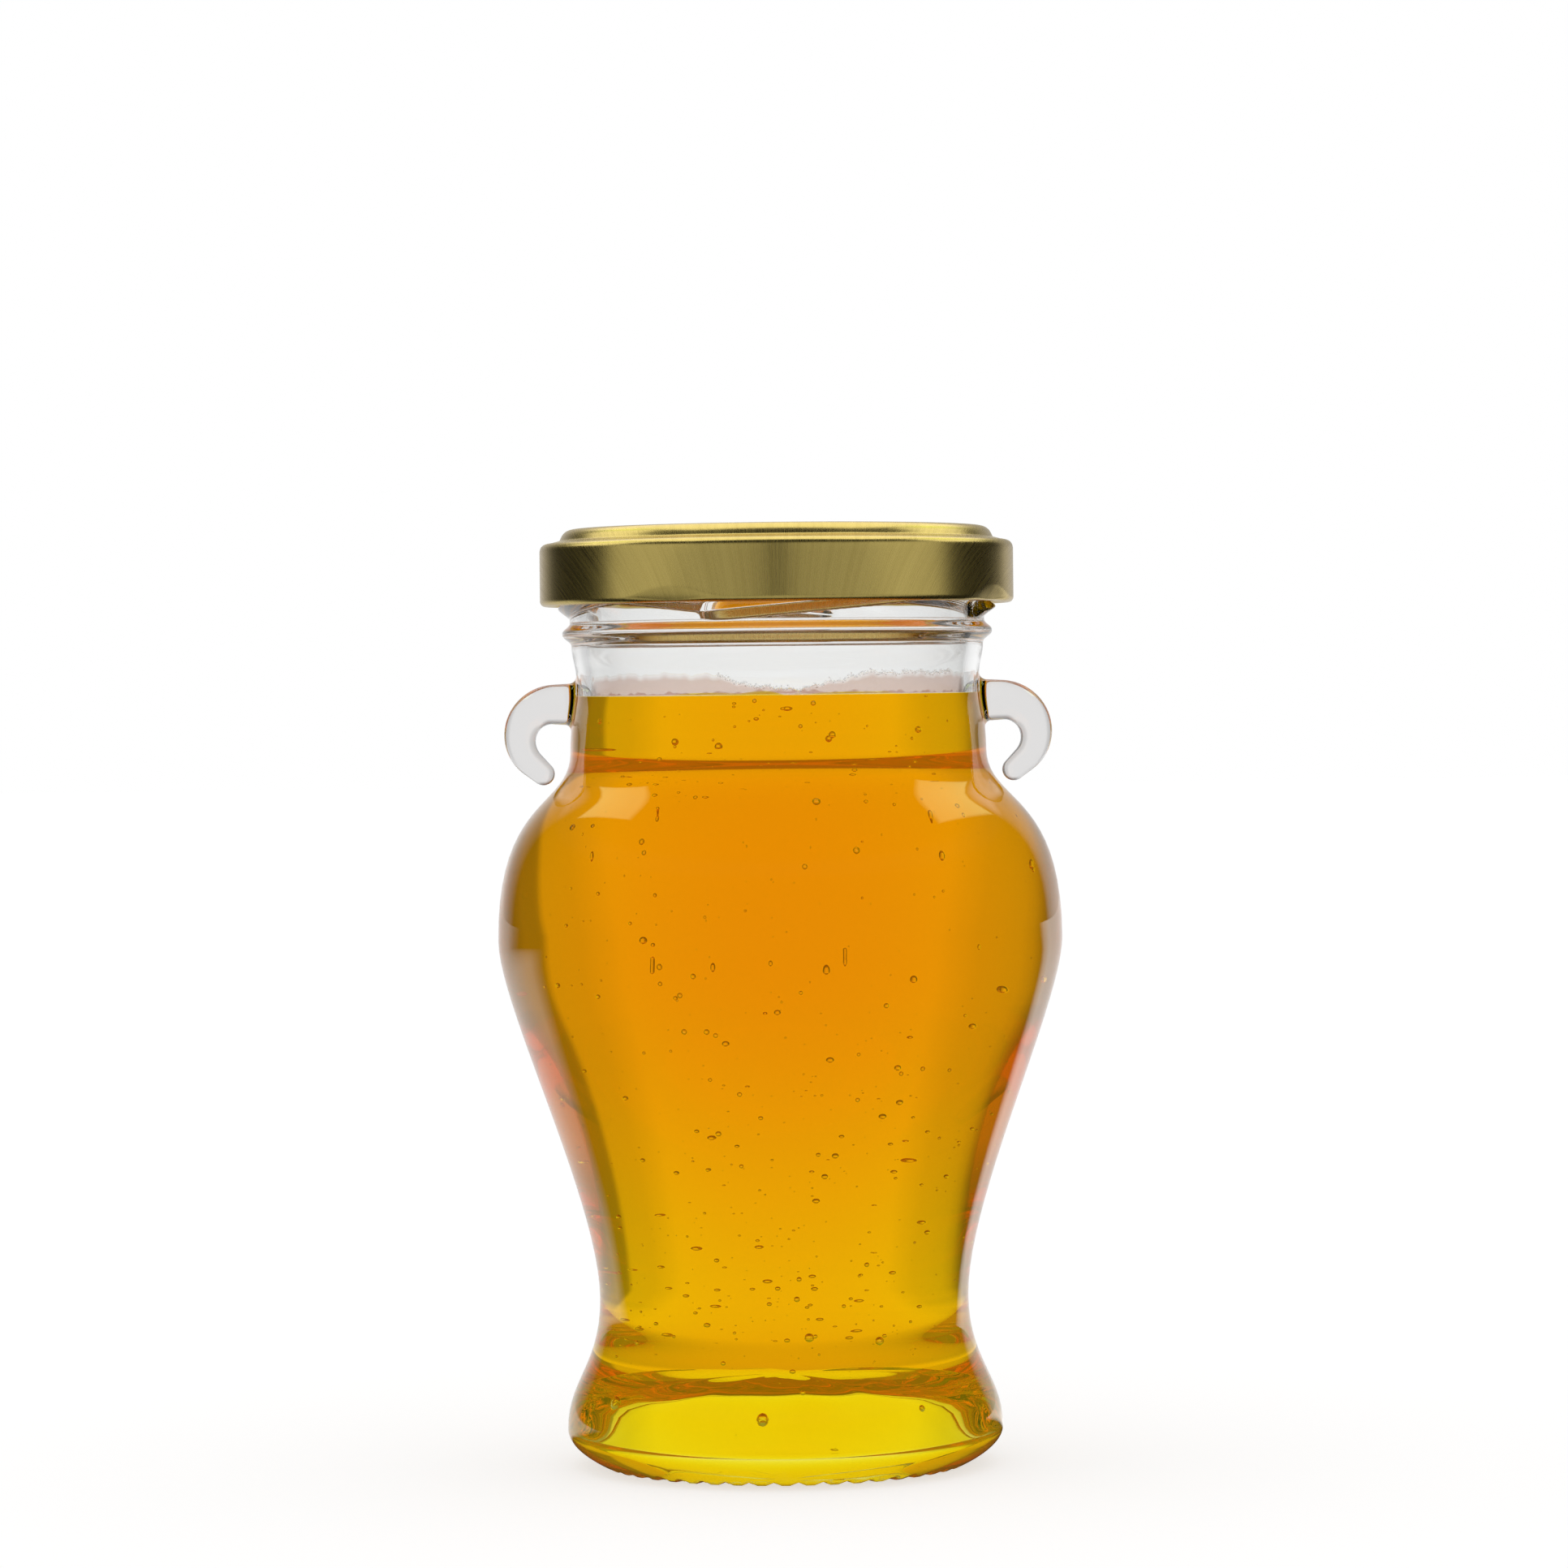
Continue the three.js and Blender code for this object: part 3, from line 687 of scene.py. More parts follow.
def glass_skin():
    """The whole glass: underside, outside, mouth, ramps, ears and inside."""
    heel = (HEEL_RADIUS, HEEL_LEVEL)
    waist = (WAIST_RADIUS, WAIST_LEVEL)
    belly = (BELLY_RADIUS, BELLY_LEVEL)
    neck_foot = (NECK_FOOT_RADIUS, NECK_FOOT_LEVEL)
    bead_top = (FINISH_RADIUS, BEAD_TOP)
    rim_centre = RIM_LEVEL - RIM_OUTER_ROUND
    profile = [(0.0, PUSH_UP)]
    profile += bend(profile[0], (FOOT_RING_INNER / 2, PUSH_UP), (FOOT_RING_INNER, 0.0), 10)
    profile += straight((FOOT_RING_INNER, 0.0), (FOOT_RING_OUTER, 0.0), 4)
    foot_end = len(profile)
    profile += bend((FOOT_RING_OUTER, 0.0), (HEEL_RADIUS, HEEL_LEVEL / 2), heel, 16)
    heel_end = len(profile)
    profile += upright(heel, waist, *HEEL_FULLNESS, 14)
    profile += upright(waist, belly, *WAIST_FULLNESS, 22)
    profile += upright(belly, neck_foot, *SHOULDER_FULLNESS, 20)
    neck_start = len(profile)
    profile += [(neck_radius(level), level) for level in neck_levels()]
    profile += bead_profile()
    mouth_start = len(profile) - 2
    profile += straight(bead_top, (FINISH_RADIUS, RAMP_TOP_LEVEL), MOUTH_ROWS)
    profile += straight(profile[-1], (FINISH_RADIUS, rim_centre), 8)
    mouth_end = len(profile)
    profile += arc((FINISH_RADIUS - RIM_OUTER_ROUND, rim_centre), RIM_OUTER_ROUND, 0, 90, 6)
    inner_centre = (BORE_RADIUS + RIM_INNER_ROUND, RIM_LEVEL - RIM_INNER_ROUND)
    profile += [(inner_centre[0], RIM_LEVEL)]
    profile += arc(inner_centre, RIM_INNER_ROUND, 90, 90, 6)
    profile += bore_line(inner_centre[1], CONTACT_LEVEL, 24)
    wet_start = len(profile) - 1
    profile += bore_line(CONTACT_LEVEL, NECK_FOOT_LEVEL, 8)
    profile += cavity_profile()[::-1][1:]

    def place(k, radius, level, azimuth):
        if k <= heel_end and radius >= GROOVE_INNER and level < GROOVE_DEPTH:
            return radius, max(level, groove(radius, azimuth))
        if mouth_start <= k < mouth_end:
            return radius + ramp_height(azimuth, level), level
        if k >= wet_start:
            return radius, level + floor_swell(radius, level, azimuth)
        return radius, level

    first_row = neck_start - 1 + NECK_ROWS_BELOW_EAR
    rows = range(first_row, first_row + EAR_HOLE_ROWS)
    half = EAR_HOLE_COLUMNS
    right = {j % GLASS_COLUMNS for j in range(-half, half)}
    left = {(j + GLASS_COLUMNS // 2) % GLASS_COLUMNS for j in range(-half, half)}
    holes = ((rows, right), (rows, left))
    skin = Skin()
    rings = turned(skin, profile, GLASS_COLUMNS, lambda k: int(k >= wet_start), place, holes)
    low, high = first_row, first_row + EAR_HOLE_ROWS
    for flipped in (False, True):
        middle = GLASS_COLUMNS // 2 if flipped else 0
        columns = [(middle + j) % GLASS_COLUMNS for j in range(-half, half + 1)]
        border = [rings[low][j] for j in columns[:-1]]
        border += [rings[k][columns[-1]] for k in range(low, high)]
        border += [rings[high][j] for j in reversed(columns[1:])]
        border += [rings[k][columns[0]] for k in range(high, low, -1)]
        grow_ear(skin, border, flipped)
    return skin


# Honey and what floats in it

def honey_top(radius):
    """Level of the honey, which climbs a little at the wall."""
    from_wall = bore_radius(CONTACT_LEVEL) - HONEY_GAP - radius
    climb = MENISCUS_RISE * math.exp(-from_wall / MENISCUS_REACH)
    return CONTACT_LEVEL - MENISCUS_RISE + climb


def honey_radius(level):
    """Inner radius of the glass at a level."""
    line = cavity_profile()[FLOOR_STEPS:]
    for low, high in zip(line, line[1:]):
        if low[1] <= level <= high[1]:
            return blend(low[0], high[0], (level - low[1]) / (high[1] - low[1]))
    return BORE_RADIUS


def honey_skin():
    """Body of the honey, with a hair-thin slit under its top that stands for its bright skin."""
    wall = cavity_profile() + bore_line(NECK_FOOT_LEVEL, CONTACT_LEVEL - 2 * MENISCUS_RISE, 8)
    wall = offset(wall, HONEY_GAP)
    wall[0] = (0.0, wall[0][1])
    edge = bore_radius(CONTACT_LEVEL) - HONEY_GAP
    steps = HONEY_TOP_STEPS
    reaches = [edge * (1 - (1 - k / steps) ** 3) for k in range(steps, -1, -1)]
    top = [(radius, honey_top(radius)) for radius in reaches]
    skin = Skin()

    def place(k, radius, level, azimuth):
        return radius, level + floor_swell(radius, level, azimuth)

    turned(skin, wall + top, HONEY_COLUMNS, None, place)
    slit_edge = edge - SLIT_INSET
    inner = [radius for radius in reversed(reaches) if radius < slit_edge] + [slit_edge]
    under = [(radius, honey_top(radius) - SKIN_DEPTH) for radius in inner]
    over = [(radius, honey_top(radius) - SKIN_DEPTH + SKIN_THICKNESS) for radius in reversed(inner)]
    slit = Skin()
    turned(slit, under + over, HONEY_COLUMNS, lambda k: 1 if k < len(under) - 1 else 2)
    skin.join_inside_out(slit)
    return skin


def bubble_places(count, smallest, largest, seed):
    """Places and radii of the bubbles, most of them as fine as dust."""
    dice = random.Random(seed)
    places = list(LARGE_BUBBLES)
    while len(places) < count + len(LARGE_BUBBLES):
        level = dice.uniform(BUBBLE_LOWEST, HONEY_LEVEL - BUBBLE_MARGIN)
        reach = honey_radius(level) - BUBBLE_MARGIN
        radius = reach * math.sqrt(dice.random())
        azimuth = dice.uniform(0.0, 2 * math.pi)
        size = blend(smallest, largest, dice.random() ** 3)
        places.append((*polar(radius, azimuth, level), size))
    return places


def bubble_tree():
    """Node tree that sets a small hollow sphere on every point."""
    tree = bpy.data.node_groups.new("bubbles_on_points", "GeometryNodeTree")
    side = tree.interface
    side.new_socket("Geometry", in_out="INPUT", socket_type="NodeSocketGeometry")
    side.new_socket("Roundness", in_out="INPUT", socket_type="NodeSocketInt")
    side.new_socket("Size Factor", in_out="INPUT", socket_type="NodeSocketFloat")
    side.new_socket("Material", in_out="INPUT", socket_type="NodeSocketMaterial")
    side.new_socket("Geometry", in_out="OUTPUT", socket_type="NodeSocketGeometry")
    nodes, links = tree.nodes, tree.links
    start = nodes.new("NodeGroupInput")
    end = nodes.new("NodeGroupOutput")
    ball = nodes.new("GeometryNodeMeshIcoSphere")
    ball.inputs["Radius"].default_value = 1.0
    size = nodes.new("GeometryNodeInputNamedAttribute")
    size.data_type = "FLOAT"
    size.inputs["Name"].default_value = "bubble_radius"
    scaled = nodes.new("ShaderNodeMath")
    scaled.operation = "MULTIPLY"
    placed = nodes.new("GeometryNodeInstanceOnPoints")
    real = nodes.new("GeometryNodeRealizeInstances")
    hollow = nodes.new("GeometryNodeFlipFaces")
    round_off = nodes.new("GeometryNodeSetShadeSmooth")
    finish = nodes.new("GeometryNodeSetMaterial")
    links.new(start.outputs["Roundness"], ball.inputs["Subdivisions"])
    links.new(size.outputs["Attribute"], scaled.inputs[0])
    links.new(start.outputs["Size Factor"], scaled.inputs[1])
    links.new(start.outputs["Geometry"], placed.inputs["Points"])
    links.new(ball.outputs["Mesh"], placed.inputs["Instance"])
    links.new(scaled.outputs["Value"], placed.inputs["Scale"])
    links.new(placed.outputs["Instances"], hollow.inputs["Mesh"])
    links.new(hollow.outputs["Mesh"], round_off.inputs["Geometry"])
    links.new(round_off.outputs["Geometry"], real.inputs["Geometry"])
    links.new(real.outputs["Geometry"], finish.inputs["Geometry"])
    links.new(start.outputs["Material"], finish.inputs["Material"])
    links.new(finish.outputs["Geometry"], end.inputs["Geometry"])
    return tree


def bubble_mesh(places, material):
    """Plain mesh of all the bubbles, with faces that look into each bubble."""
    mesh = bpy.data.meshes.new("bubble_points")
    mesh.from_pydata([tuple(c * MM for c in place[:3]) for place in places], [], [])
    radii = mesh.attributes.new("bubble_radius", "FLOAT", "POINT")
    radii.data.foreach_set("value", [place[3] * MM for place in places])
    holder = bpy.data.objects.new("bubble_points", mesh)
    bpy.context.scene.collection.objects.link(holder)
    tree = bubble_tree()
    modifier = holder.modifiers.new("bubbles", "NODES")
    modifier.node_group = tree
    keys = {item.name: item.identifier for item in tree.interface.items_tree if item.in_out == "INPUT"}
    modifier[keys["Roundness"]] = BUBBLE_ROUNDNESS
    modifier[keys["Size Factor"]] = 1.0
    modifier[keys["Material"]] = material
    seen = holder.evaluated_get(bpy.context.evaluated_depsgraph_get())
    result = bpy.data.meshes.new_from_object(seen)
    bpy.data.objects.remove(holder)
    return result


def film_height(azimuth):
    """How high the thin coat of honey clings to the neck, with a ragged upper edge."""
    from_front = (math.degrees(azimuth) + 90 + 180) % 360 - 180
    aside = abs(from_front - FILM_MIDDLE)
    hump = FILM_LOW + FILM_RISE * smooth((aside - FILM_RISE_START) / FILM_RISE_SPAN)
    hump -= FILM_DROP * smooth((aside - FILM_DROP_START) / FILM_DROP_SPAN)
    ragged = sum(rise * math.sin(count * azimuth + start) for rise, count, start in FILM_RAGS)
    return max(hump + ragged, FILM_LEAST)


def bead_places(count, seed):
    """Places and radii of the beads along the upper edge of the clinging honey."""
    dice = random.Random(seed)
    places = []
    for _ in range(count):
        azimuth = math.radians(dice.uniform(*BEAD_SPAN))
        level = CONTACT_LEVEL + film_height(azimuth) + dice.gauss(0.0, BEAD_SCATTER)
        size = dice.uniform(*BEAD_SIZES)
        places.append((*polar(bore_radius(level) - BEAD_INSET, azimuth, level), size))
    return places


def film_skin():
    """Thin coat of honey on the inside of the neck above the honey's level."""
    foot = CONTACT_LEVEL + FILM_GAP
    rows = [(share, True) for share in FILM_SHARES]
    rows += [(share, False) for share in reversed(FILM_SHARES)]
    skin = Skin()
    rings = []
    for share, is_outer in rows:
        ring = []
        for j in range(FILM_COLUMNS):
            azimuth = 2 * math.pi * j / FILM_COLUMNS
            depth = 0.0 if is_outer else FILM_EDGE + FILM_SWELL * math.sqrt(1.0 - share)
            level = foot + share * film_height(azimuth)
            ring.append(polar(bore_radius(level) - FILM_GAP - depth, azimuth, level))
        rings.append(skin.ring(ring))
    for low, high in zip(rings, rings[1:] + rings[:1]):
        skin.bridge(low, high)
    return skin


def film_mesh(settings):
    """Clinging honey with its beads; each point knows its share of the film's height."""
    materials = film_materials(settings)
    skin = film_skin()
    beads = bubble_mesh(bead_places(settings.beads, settings.seed), materials[1])
    skin.add(beads, 1, True)
    bpy.data.meshes.remove(beads)
    mesh = skin.mesh("honey_film", materials)
    shares = mesh.attributes.new("film_share", "FLOAT", "POINT")
    rows = [share for share in FILM_SHARES + FILM_SHARES[::-1] for _ in range(FILM_COLUMNS)]
    shares.data.foreach_set("value", rows + [1.0] * (len(mesh.vertices) - len(rows)))
    return mesh


# Lid and sealing ring

def lid_line():
    """Middle of the lid's sheet: panel, riser, crown, gutter, shoulder, skirt and curl."""
    line = [(0.0, PANEL_LEVEL)]
    line += straight(line[0], (PANEL_RADIUS, PANEL_LEVEL), 12)
    riser = (PANEL_RADIUS + RISER_TANGENT, PANEL_LEVEL)
    line += sweep(line[-1], riser, (CROWN_INNER - RISER_TANGENT, CROWN_LEVEL), (CROWN_INNER, CROWN_LEVEL), 10)
    line += straight(line[-1], (CROWN_OUTER, CROWN_LEVEL), 4)
    crown = (CROWN_OUTER + CROWN_ROUND, CROWN_LEVEL)
    gutter = (GUTTER_RADIUS, GUTTER_LEVEL)
    line += sweep(line[-1], crown, (GUTTER_RADIUS - SHEET, GUTTER_LEVEL + SHEET), gutter, 12)
    line += straight(gutter, (SKIRT_RADIUS - SHOULDER_ROUND, SHOULDER_LEVEL), 3)
    line += bend(line[-1], (SKIRT_RADIUS, SHOULDER_LEVEL), (SKIRT_RADIUS, SHOULDER_LEVEL - SHOULDER_ROUND), 9)
    line += straight(line[-1], (SKIRT_RADIUS, CURL_LEVEL + LUG_BEND), 6)
    line += straight(line[-1], (SKIRT_RADIUS, CURL_LEVEL), 14)
    line += arc((CURL_CENTRE, CURL_LEVEL), CURL_ROUND, 0, -CURL_TURN, 22)
    return line


def press_lug(k, radius, level, azimuth):
    """Place after the four lugs are pressed in from the curl and flattened."""
    spacing = 360 / RAMP_COUNT
    away = abs((math.degrees(azimuth) - LUG_AZIMUTH + spacing / 2) % spacing - spacing / 2)
    across = 1.0 - smooth((away - LUG_HALF_FLAT) / (LUG_HALF_WIDTH - LUG_HALF_FLAT))
    if across <= 0.0 or level > CURL_LEVEL + LUG_BEND:
        return radius, level
    inward = smooth((SKIRT_RADIUS + SHEET / 2 - radius) / (2 * CURL_ROUND + SHEET))
    depth = LUG_DEPTH * across * blend(LUG_SKIRT_SHARE, 1.0, inward)
    if radius > SKIRT_RADIUS - SHEET and level > CURL_LEVEL:
        share = max(1.0 - (level - CURL_LEVEL) / (LUG_BEND * across), 0.0) ** 2
        return radius - depth * share, level + (LUG_MIDDLE - CURL_LEVEL) * across * share
    flat = LUG_MIDDLE + (level - CURL_LEVEL) * LUG_FLATNESS
    return radius - depth, blend(level, flat, across)


def lid_mesh(materials):
    """The pressed lid with a map of the flat sheet that it was stamped from."""
    middle = lid_line()
    under = offset(middle, -SHEET / 2)
    top = offset(middle, SHEET / 2)
    under[0] = (0.0, under[0][1])
    top[0] = (0.0, top[0][1])
    skin = Skin()
    turned(skin, under + top[::-1], LID_COLUMNS, None, press_lug)
    mesh = skin.mesh("twist_lid_visual", materials)
    run = [0.0]
    for before, after in zip(middle, middle[1:]):
        run.append(run[-1] + math.dist(before, after))
    reach = run[1:] + run[1:][::-1]
    sheet = mesh.uv_layers.new(name="sheet")
    spots = []
    for j in range(len(reach)):
        for column in range(LID_COLUMNS):
            azimuth = 2 * math.pi * column / LID_COLUMNS
            spots.append((reach[j] * MM * math.cos(azimuth), reach[j] * MM * math.sin(azimuth)))
    spots += [(0.0, 0.0), (0.0, 0.0)]
    corners = [0] * len(mesh.loops)
    mesh.loops.foreach_get("vertex_index", corners)
    sheet.data.foreach_set("uv", [c for corner in corners for c in spots[corner]])
    return mesh


def seal_skin():
    """Soft ring under the crown, with rounded corners and a shallow groove where the rim presses."""
    outer = FINISH_RADIUS
    middle = (SEAL_INNER + outer) / 2
    inner_round = SEAL_INNER + SEAL_ROUND
    section = [(inner_round, SEAL_BOTTOM)]
    section += bend(section[0], (middle, SEAL_BOTTOM + SEAL_GROOVE), (outer - SEAL_ROUND, SEAL_BOTTOM), 8)
    section += bend(section[-1], (outer, SEAL_BOTTOM), (outer, SEAL_BOTTOM + SEAL_ROUND), 4)
    section += straight(section[-1], (outer, SEAL_TOP - SEAL_CHAMFER), 1)
    section += bend(section[-1], (outer - SEAL_SLOPE, SEAL_TOP), (outer - 2 * SEAL_CHAMFER, SEAL_TOP), 6)
    section += straight(section[-1], (inner_round, SEAL_TOP), 4)
    section += bend(section[-1], (SEAL_INNER, SEAL_TOP), (SEAL_INNER, SEAL_TOP - SEAL_ROUND), 4)
    section += straight(section[-1], (SEAL_INNER, SEAL_BOTTOM + SEAL_ROUND), 2)
    section += bend(section[-1], (SEAL_INNER, SEAL_BOTTOM), section[0], 4)[:-1]
    azimuths = [2 * math.pi * j / SEAL_COLUMNS for j in range(SEAL_COLUMNS)]
    skin = Skin()
    rings = []
    for radius, level in section:
        rings.append(skin.ring([polar(radius, azimuth, level) for azimuth in azimuths]))
    for low, high in zip(rings, rings[1:] + rings[:1]):
        skin.bridge(low, high)
    return skin


# Finishes

def uneven_group():
    """Soft unevenness that glass, honey, seal and lacquer share: a height and a level."""
    name = "soft_unevenness"
    if name in bpy.data.node_groups:
        return bpy.data.node_groups[name]
    tree = bpy.data.node_groups.new(name, "ShaderNodeTree")
    side = tree.interface
    side.new_socket("Place", in_out="INPUT", socket_type="NodeSocketVector")
    side.new_socket("Fineness", in_out="INPUT", socket_type="NodeSocketFloat")
    side.new_socket("Low", in_out="INPUT", socket_type="NodeSocketFloat")
    side.new_socket("High", in_out="INPUT", socket_type="NodeSocketFloat")
    side.new_socket("Height", in_out="OUTPUT", socket_type="NodeSocketFloat")
    side.new_socket("Level", in_out="OUTPUT", socket_type="NodeSocketFloat")
    nodes, links = tree.nodes, tree.links
    start = nodes.new("NodeGroupInput")
    end = nodes.new("NodeGroupOutput")
    cloud = nodes.new("ShaderNodeTexNoise")
    cloud.inputs["Detail"].default_value = 2.0
    level = nodes.new("ShaderNodeMapRange")
    level.inputs["From Min"].default_value = CLOUD_SPAN[0]
    level.inputs["From Max"].default_value = CLOUD_SPAN[1]
    links.new(start.outputs["Place"], cloud.inputs["Vector"])
    links.new(start.outputs["Fineness"], cloud.inputs["Scale"])
    links.new(cloud.outputs["Fac"], level.inputs["Value"])
    links.new(start.outputs["Low"], level.inputs["To Min"])
    links.new(start.outputs["High"], level.inputs["To Max"])
    links.new(cloud.outputs["Fac"], end.inputs["Height"])
    links.new(level.outputs["Result"], end.inputs["Level"])
    return tree


def new_material(name):
    """Plain material and its shader."""
    material = bpy.data.materials.new(name)
    material.use_nodes = True
    shader = material.node_tree.nodes["Principled BSDF"]
    return material, shader


def uneven_node(material, fineness, low=0.0, high=1.0, place=None):
    """The shared unevenness, placed in a material on its piece's own coordinates."""
    nodes, links = material.node_tree.nodes, material.node_tree.links
    node = nodes.new("ShaderNodeGroup")
    node.node_tree = uneven_group()
    node.inputs["Fineness"].default_value = fineness
    node.inputs["Low"].default_value = low
    node.inputs["High"].default_value = high
    if place is None:
        place = nodes.new("ShaderNodeTexCoord").outputs["Object"]
    links.new(place, node.inputs["Place"])
    return node


def bump_from(material, shader, height, strength, distance):
    """Raise and sink a finish by a height, without changing its form."""
    nodes, links = material.node_tree.nodes, material.node_tree.links
    bump = nodes.new("ShaderNodeBump")
    bump.inputs["Strength"].default_value = strength
    bump.inputs["Distance"].default_value = distance
    links.new(height, bump.inputs["Height"])
    links.new(bump.outputs["Normal"], shader.inputs["Normal"])


def clear_material(name, colour, ior, roughness=0.0):
    """Clear stuff that light passes through and bends in."""
    material, shader = new_material(name)
    shader.inputs["Base Color"].default_value = (*colour, 1.0)
    shader.inputs["Roughness"].default_value = roughness
    shader.inputs["IOR"].default_value = ior
    shader.inputs["Transmission Weight"].default_value = 1.0
    return material, shader


def glass_materials(settings):
    """Glass against air, with the faint waviness of pressed glass, glass against honey, and the ears."""
    wet_ior = settings.ior / HONEY_IOR
    finishes = (
        ("clear_glass_outside", settings.colour, settings.ior, OUTER_WAVES, 1),
        ("clear_glass_against_honey", settings.colour, wet_ior, WET_WAVES, 1),
        # The ears' grey is partly the glass's own tint and partly painted shade.
        ("clear_glass_ears", settings.ear_tint_and_shade, settings.ior, EAR_WAVES, 3),
    )
    materials = []
    for name, colour, ior, fineness, waves in finishes:
        material, shader = clear_material(name, colour, ior)
        wave = uneven_node(material, fineness)
        bump_from(material, shader, wave.outputs["Height"], waves * settings.waviness, GLASS_WAVE_DEPTH)
        materials.append(material)
    return materials


def add_amber(material, settings):
    """Take more blue than green and red from light, the longer it runs through the honey."""
    nodes, links = material.node_tree.nodes, material.node_tree.links
    amber = nodes.new("ShaderNodeVolumeAbsorption")
    amber.inputs["Color"].default_value = (*settings.colour, 1.0)
    amber.inputs["Density"].default_value = settings.depth
    links.new(amber.outputs["Volume"], nodes["Material Output"].inputs["Volume"])


def honey_materials(settings):
    """Honey, its skin towards air, and the hair-thin slit above that skin."""
    body, shader = clear_material("honey_body", settings.clearness, 1.0)
    # Painted glow: the honey body gives off a faint, even yellow light of its own. It stands in for light
    # that the honey's haze scatters back.
    shader.inputs["Emission Color"].default_value = (*settings.haze_glow_colour, 1.0)
    shader.inputs["Emission Strength"].default_value = settings.haze_glow
    body.cycles.emission_sampling = "NONE"
    add_amber(body, settings)
    skin, shader = clear_material("honey_skin", (1.0, 1.0, 1.0), HONEY_IOR)
    swell = uneven_node(skin, HONEY_SWELLS)
    bump_from(skin, shader, swell.outputs["Height"], strength=0.05, distance=0.0005)
    slit, _ = clear_material("honey_slit", (1.0, 1.0, 1.0), 1.0)
    return [body, skin, slit]


def film_materials(settings):
    """Thin clinging honey and the beads of its drying edge."""
    film, shader = clear_material("honey_film", settings.film_colour, FILM_IOR)
    nodes, links = film.node_tree.nodes, film.node_tree.links
    grain = uneven_node(film, FILM_GRAINS, low=0.0, high=0.12)
    links.new(grain.outputs["Level"], shader.inputs["Roughness"])
    height = nodes.new("ShaderNodeAttribute")
    height.attribute_name = "film_share"
    thinning = stretch(film.node_tree, height.outputs["Fac"], FILM_THINNING, 1.0, 0.0, 1.0)
    tone = nodes.new("ShaderNodeMix")
    tone.data_type = "RGBA"
    tone.inputs["A"].default_value = (*settings.film_colour, 1.0)
    tone.inputs["B"].default_value = (1.0, 1.0, 1.0, 1.0)
    links.new(thinning, tone.inputs["Factor"])
    links.new(tone.outputs["Result"], shader.inputs["Base Color"])
    bead, shader = new_material("honey_beads")
    shader.inputs["Base Color"].default_value = (*settings.bead_colour, 1.0)
    shader.inputs["Roughness"].default_value = 0.5
    shader.inputs["Emission Color"].default_value = (1.0, 1.0, 1.0, 1.0)
    shader.inputs["Emission Strength"].default_value = settings.bead_glow
    bead.cycles.emission_sampling = "NONE"
    return [film, bead]


def gold_material(settings):
    """Gold lacquer on brushed tinplate; the brush lines run across the flat sheet."""
    material, shader = new_material("gold_lacquered_tinplate")
    nodes, links = material.node_tree.nodes, material.node_tree.links
    sheet = nodes.new("ShaderNodeUVMap")
    sheet.uv_map = "sheet"
    lay = nodes.new("ShaderNodeMapping")
    lay.inputs["Scale"].default_value = (1.0, 0.008, 1.0)
    links.new(sheet.outputs["UV"], lay.inputs["Vector"])
    fine = uneven_node(material, settings.brush_fineness, place=lay.outputs["Vector"])
    broad = uneven_node(material, settings.brush_fineness / 6, place=lay.outputs["Vector"])
    tone = nodes.new("ShaderNodeMix")
    tone.data_type = "RGBA"
    tone.inputs["A"].default_value = (*settings.shade, 1.0)
    tone.inputs["B"].default_value = (*settings.colour, 1.0)
    links.new(broad.outputs["Level"], tone.inputs["Factor"])
    links.new(tone.outputs["Result"], shader.inputs["Base Color"])
    rough = nodes.new("ShaderNodeMapRange")
    rough.inputs["To Min"].default_value = settings.roughness + LACQUER_SPREAD[0]
    rough.inputs["To Max"].default_value = settings.roughness + LACQUER_SPREAD[1]
    links.new(fine.outputs["Level"], rough.inputs["Value"])
    links.new(rough.outputs["Result"], shader.inputs["Roughness"])
    shader.inputs["Metallic"].default_value = 1.0
    shader.inputs["Specular Tint"].default_value = (*settings.edge_colour, 1.0)
    shader.inputs["Coat Weight"].default_value = settings.coat
    shader.inputs["Coat Roughness"].default_value = settings.roughness
    bump_from(material, shader, fine.outputs["Height"], strength=0.12, distance=0.00003)
    return material


def seal_material(settings):
    """Soft cream compound with a dull, slightly pitted face."""
    material, shader = new_material("cream_seal_compound")
    shader.inputs["Base Color"].default_value = (*settings.colour, 1.0)
    grain = uneven_node(material, SEAL_GRAINS, low=0.45, high=0.65)
    material.node_tree.links.new(grain.outputs["Level"], shader.inputs["Roughness"])
    bump_from(material, shader, grain.outputs["Height"], strength=0.3, distance=0.0001)
    return material


# Stage

def reckon(tree, operation, first, second):
    """Result of a sum on two values, each a socket or a plain number."""
    node = tree.nodes.new("ShaderNodeMath")
    node.operation = operation
    for socket, entry in zip(node.inputs, (first, second)):
        if isinstance(entry, float):
            socket.default_value = entry
        else:
            tree.links.new(entry, socket)
    return node.outputs["Value"]


def stretch(tree, value, low, high, bottom, top):
    """Value moved from one span to another, and held inside it."""
    node = tree.nodes.new("ShaderNodeMapRange")
    tree.links.new(value, node.inputs["Value"])
    node.inputs["From Min"].default_value = low
    node.inputs["From Max"].default_value = high
    node.inputs["To Min"].default_value = bottom
    node.inputs["To Max"].default_value = top
    return node.outputs["Result"]


def choose(tree, share, otherwise, value):
    """One of two values, or a blend of them, each a socket or a plain number."""
    node = tree.nodes.new("ShaderNodeMix")
    node.data_type = "FLOAT"
    tree.links.new(share, node.inputs["Factor"])
    for socket, entry in ((node.inputs["A"], otherwise), (node.inputs["B"], value)):
        if isinstance(entry, float):
            socket.default_value = entry
        else:
            tree.links.new(entry, socket)
    return node.outputs["Result"]


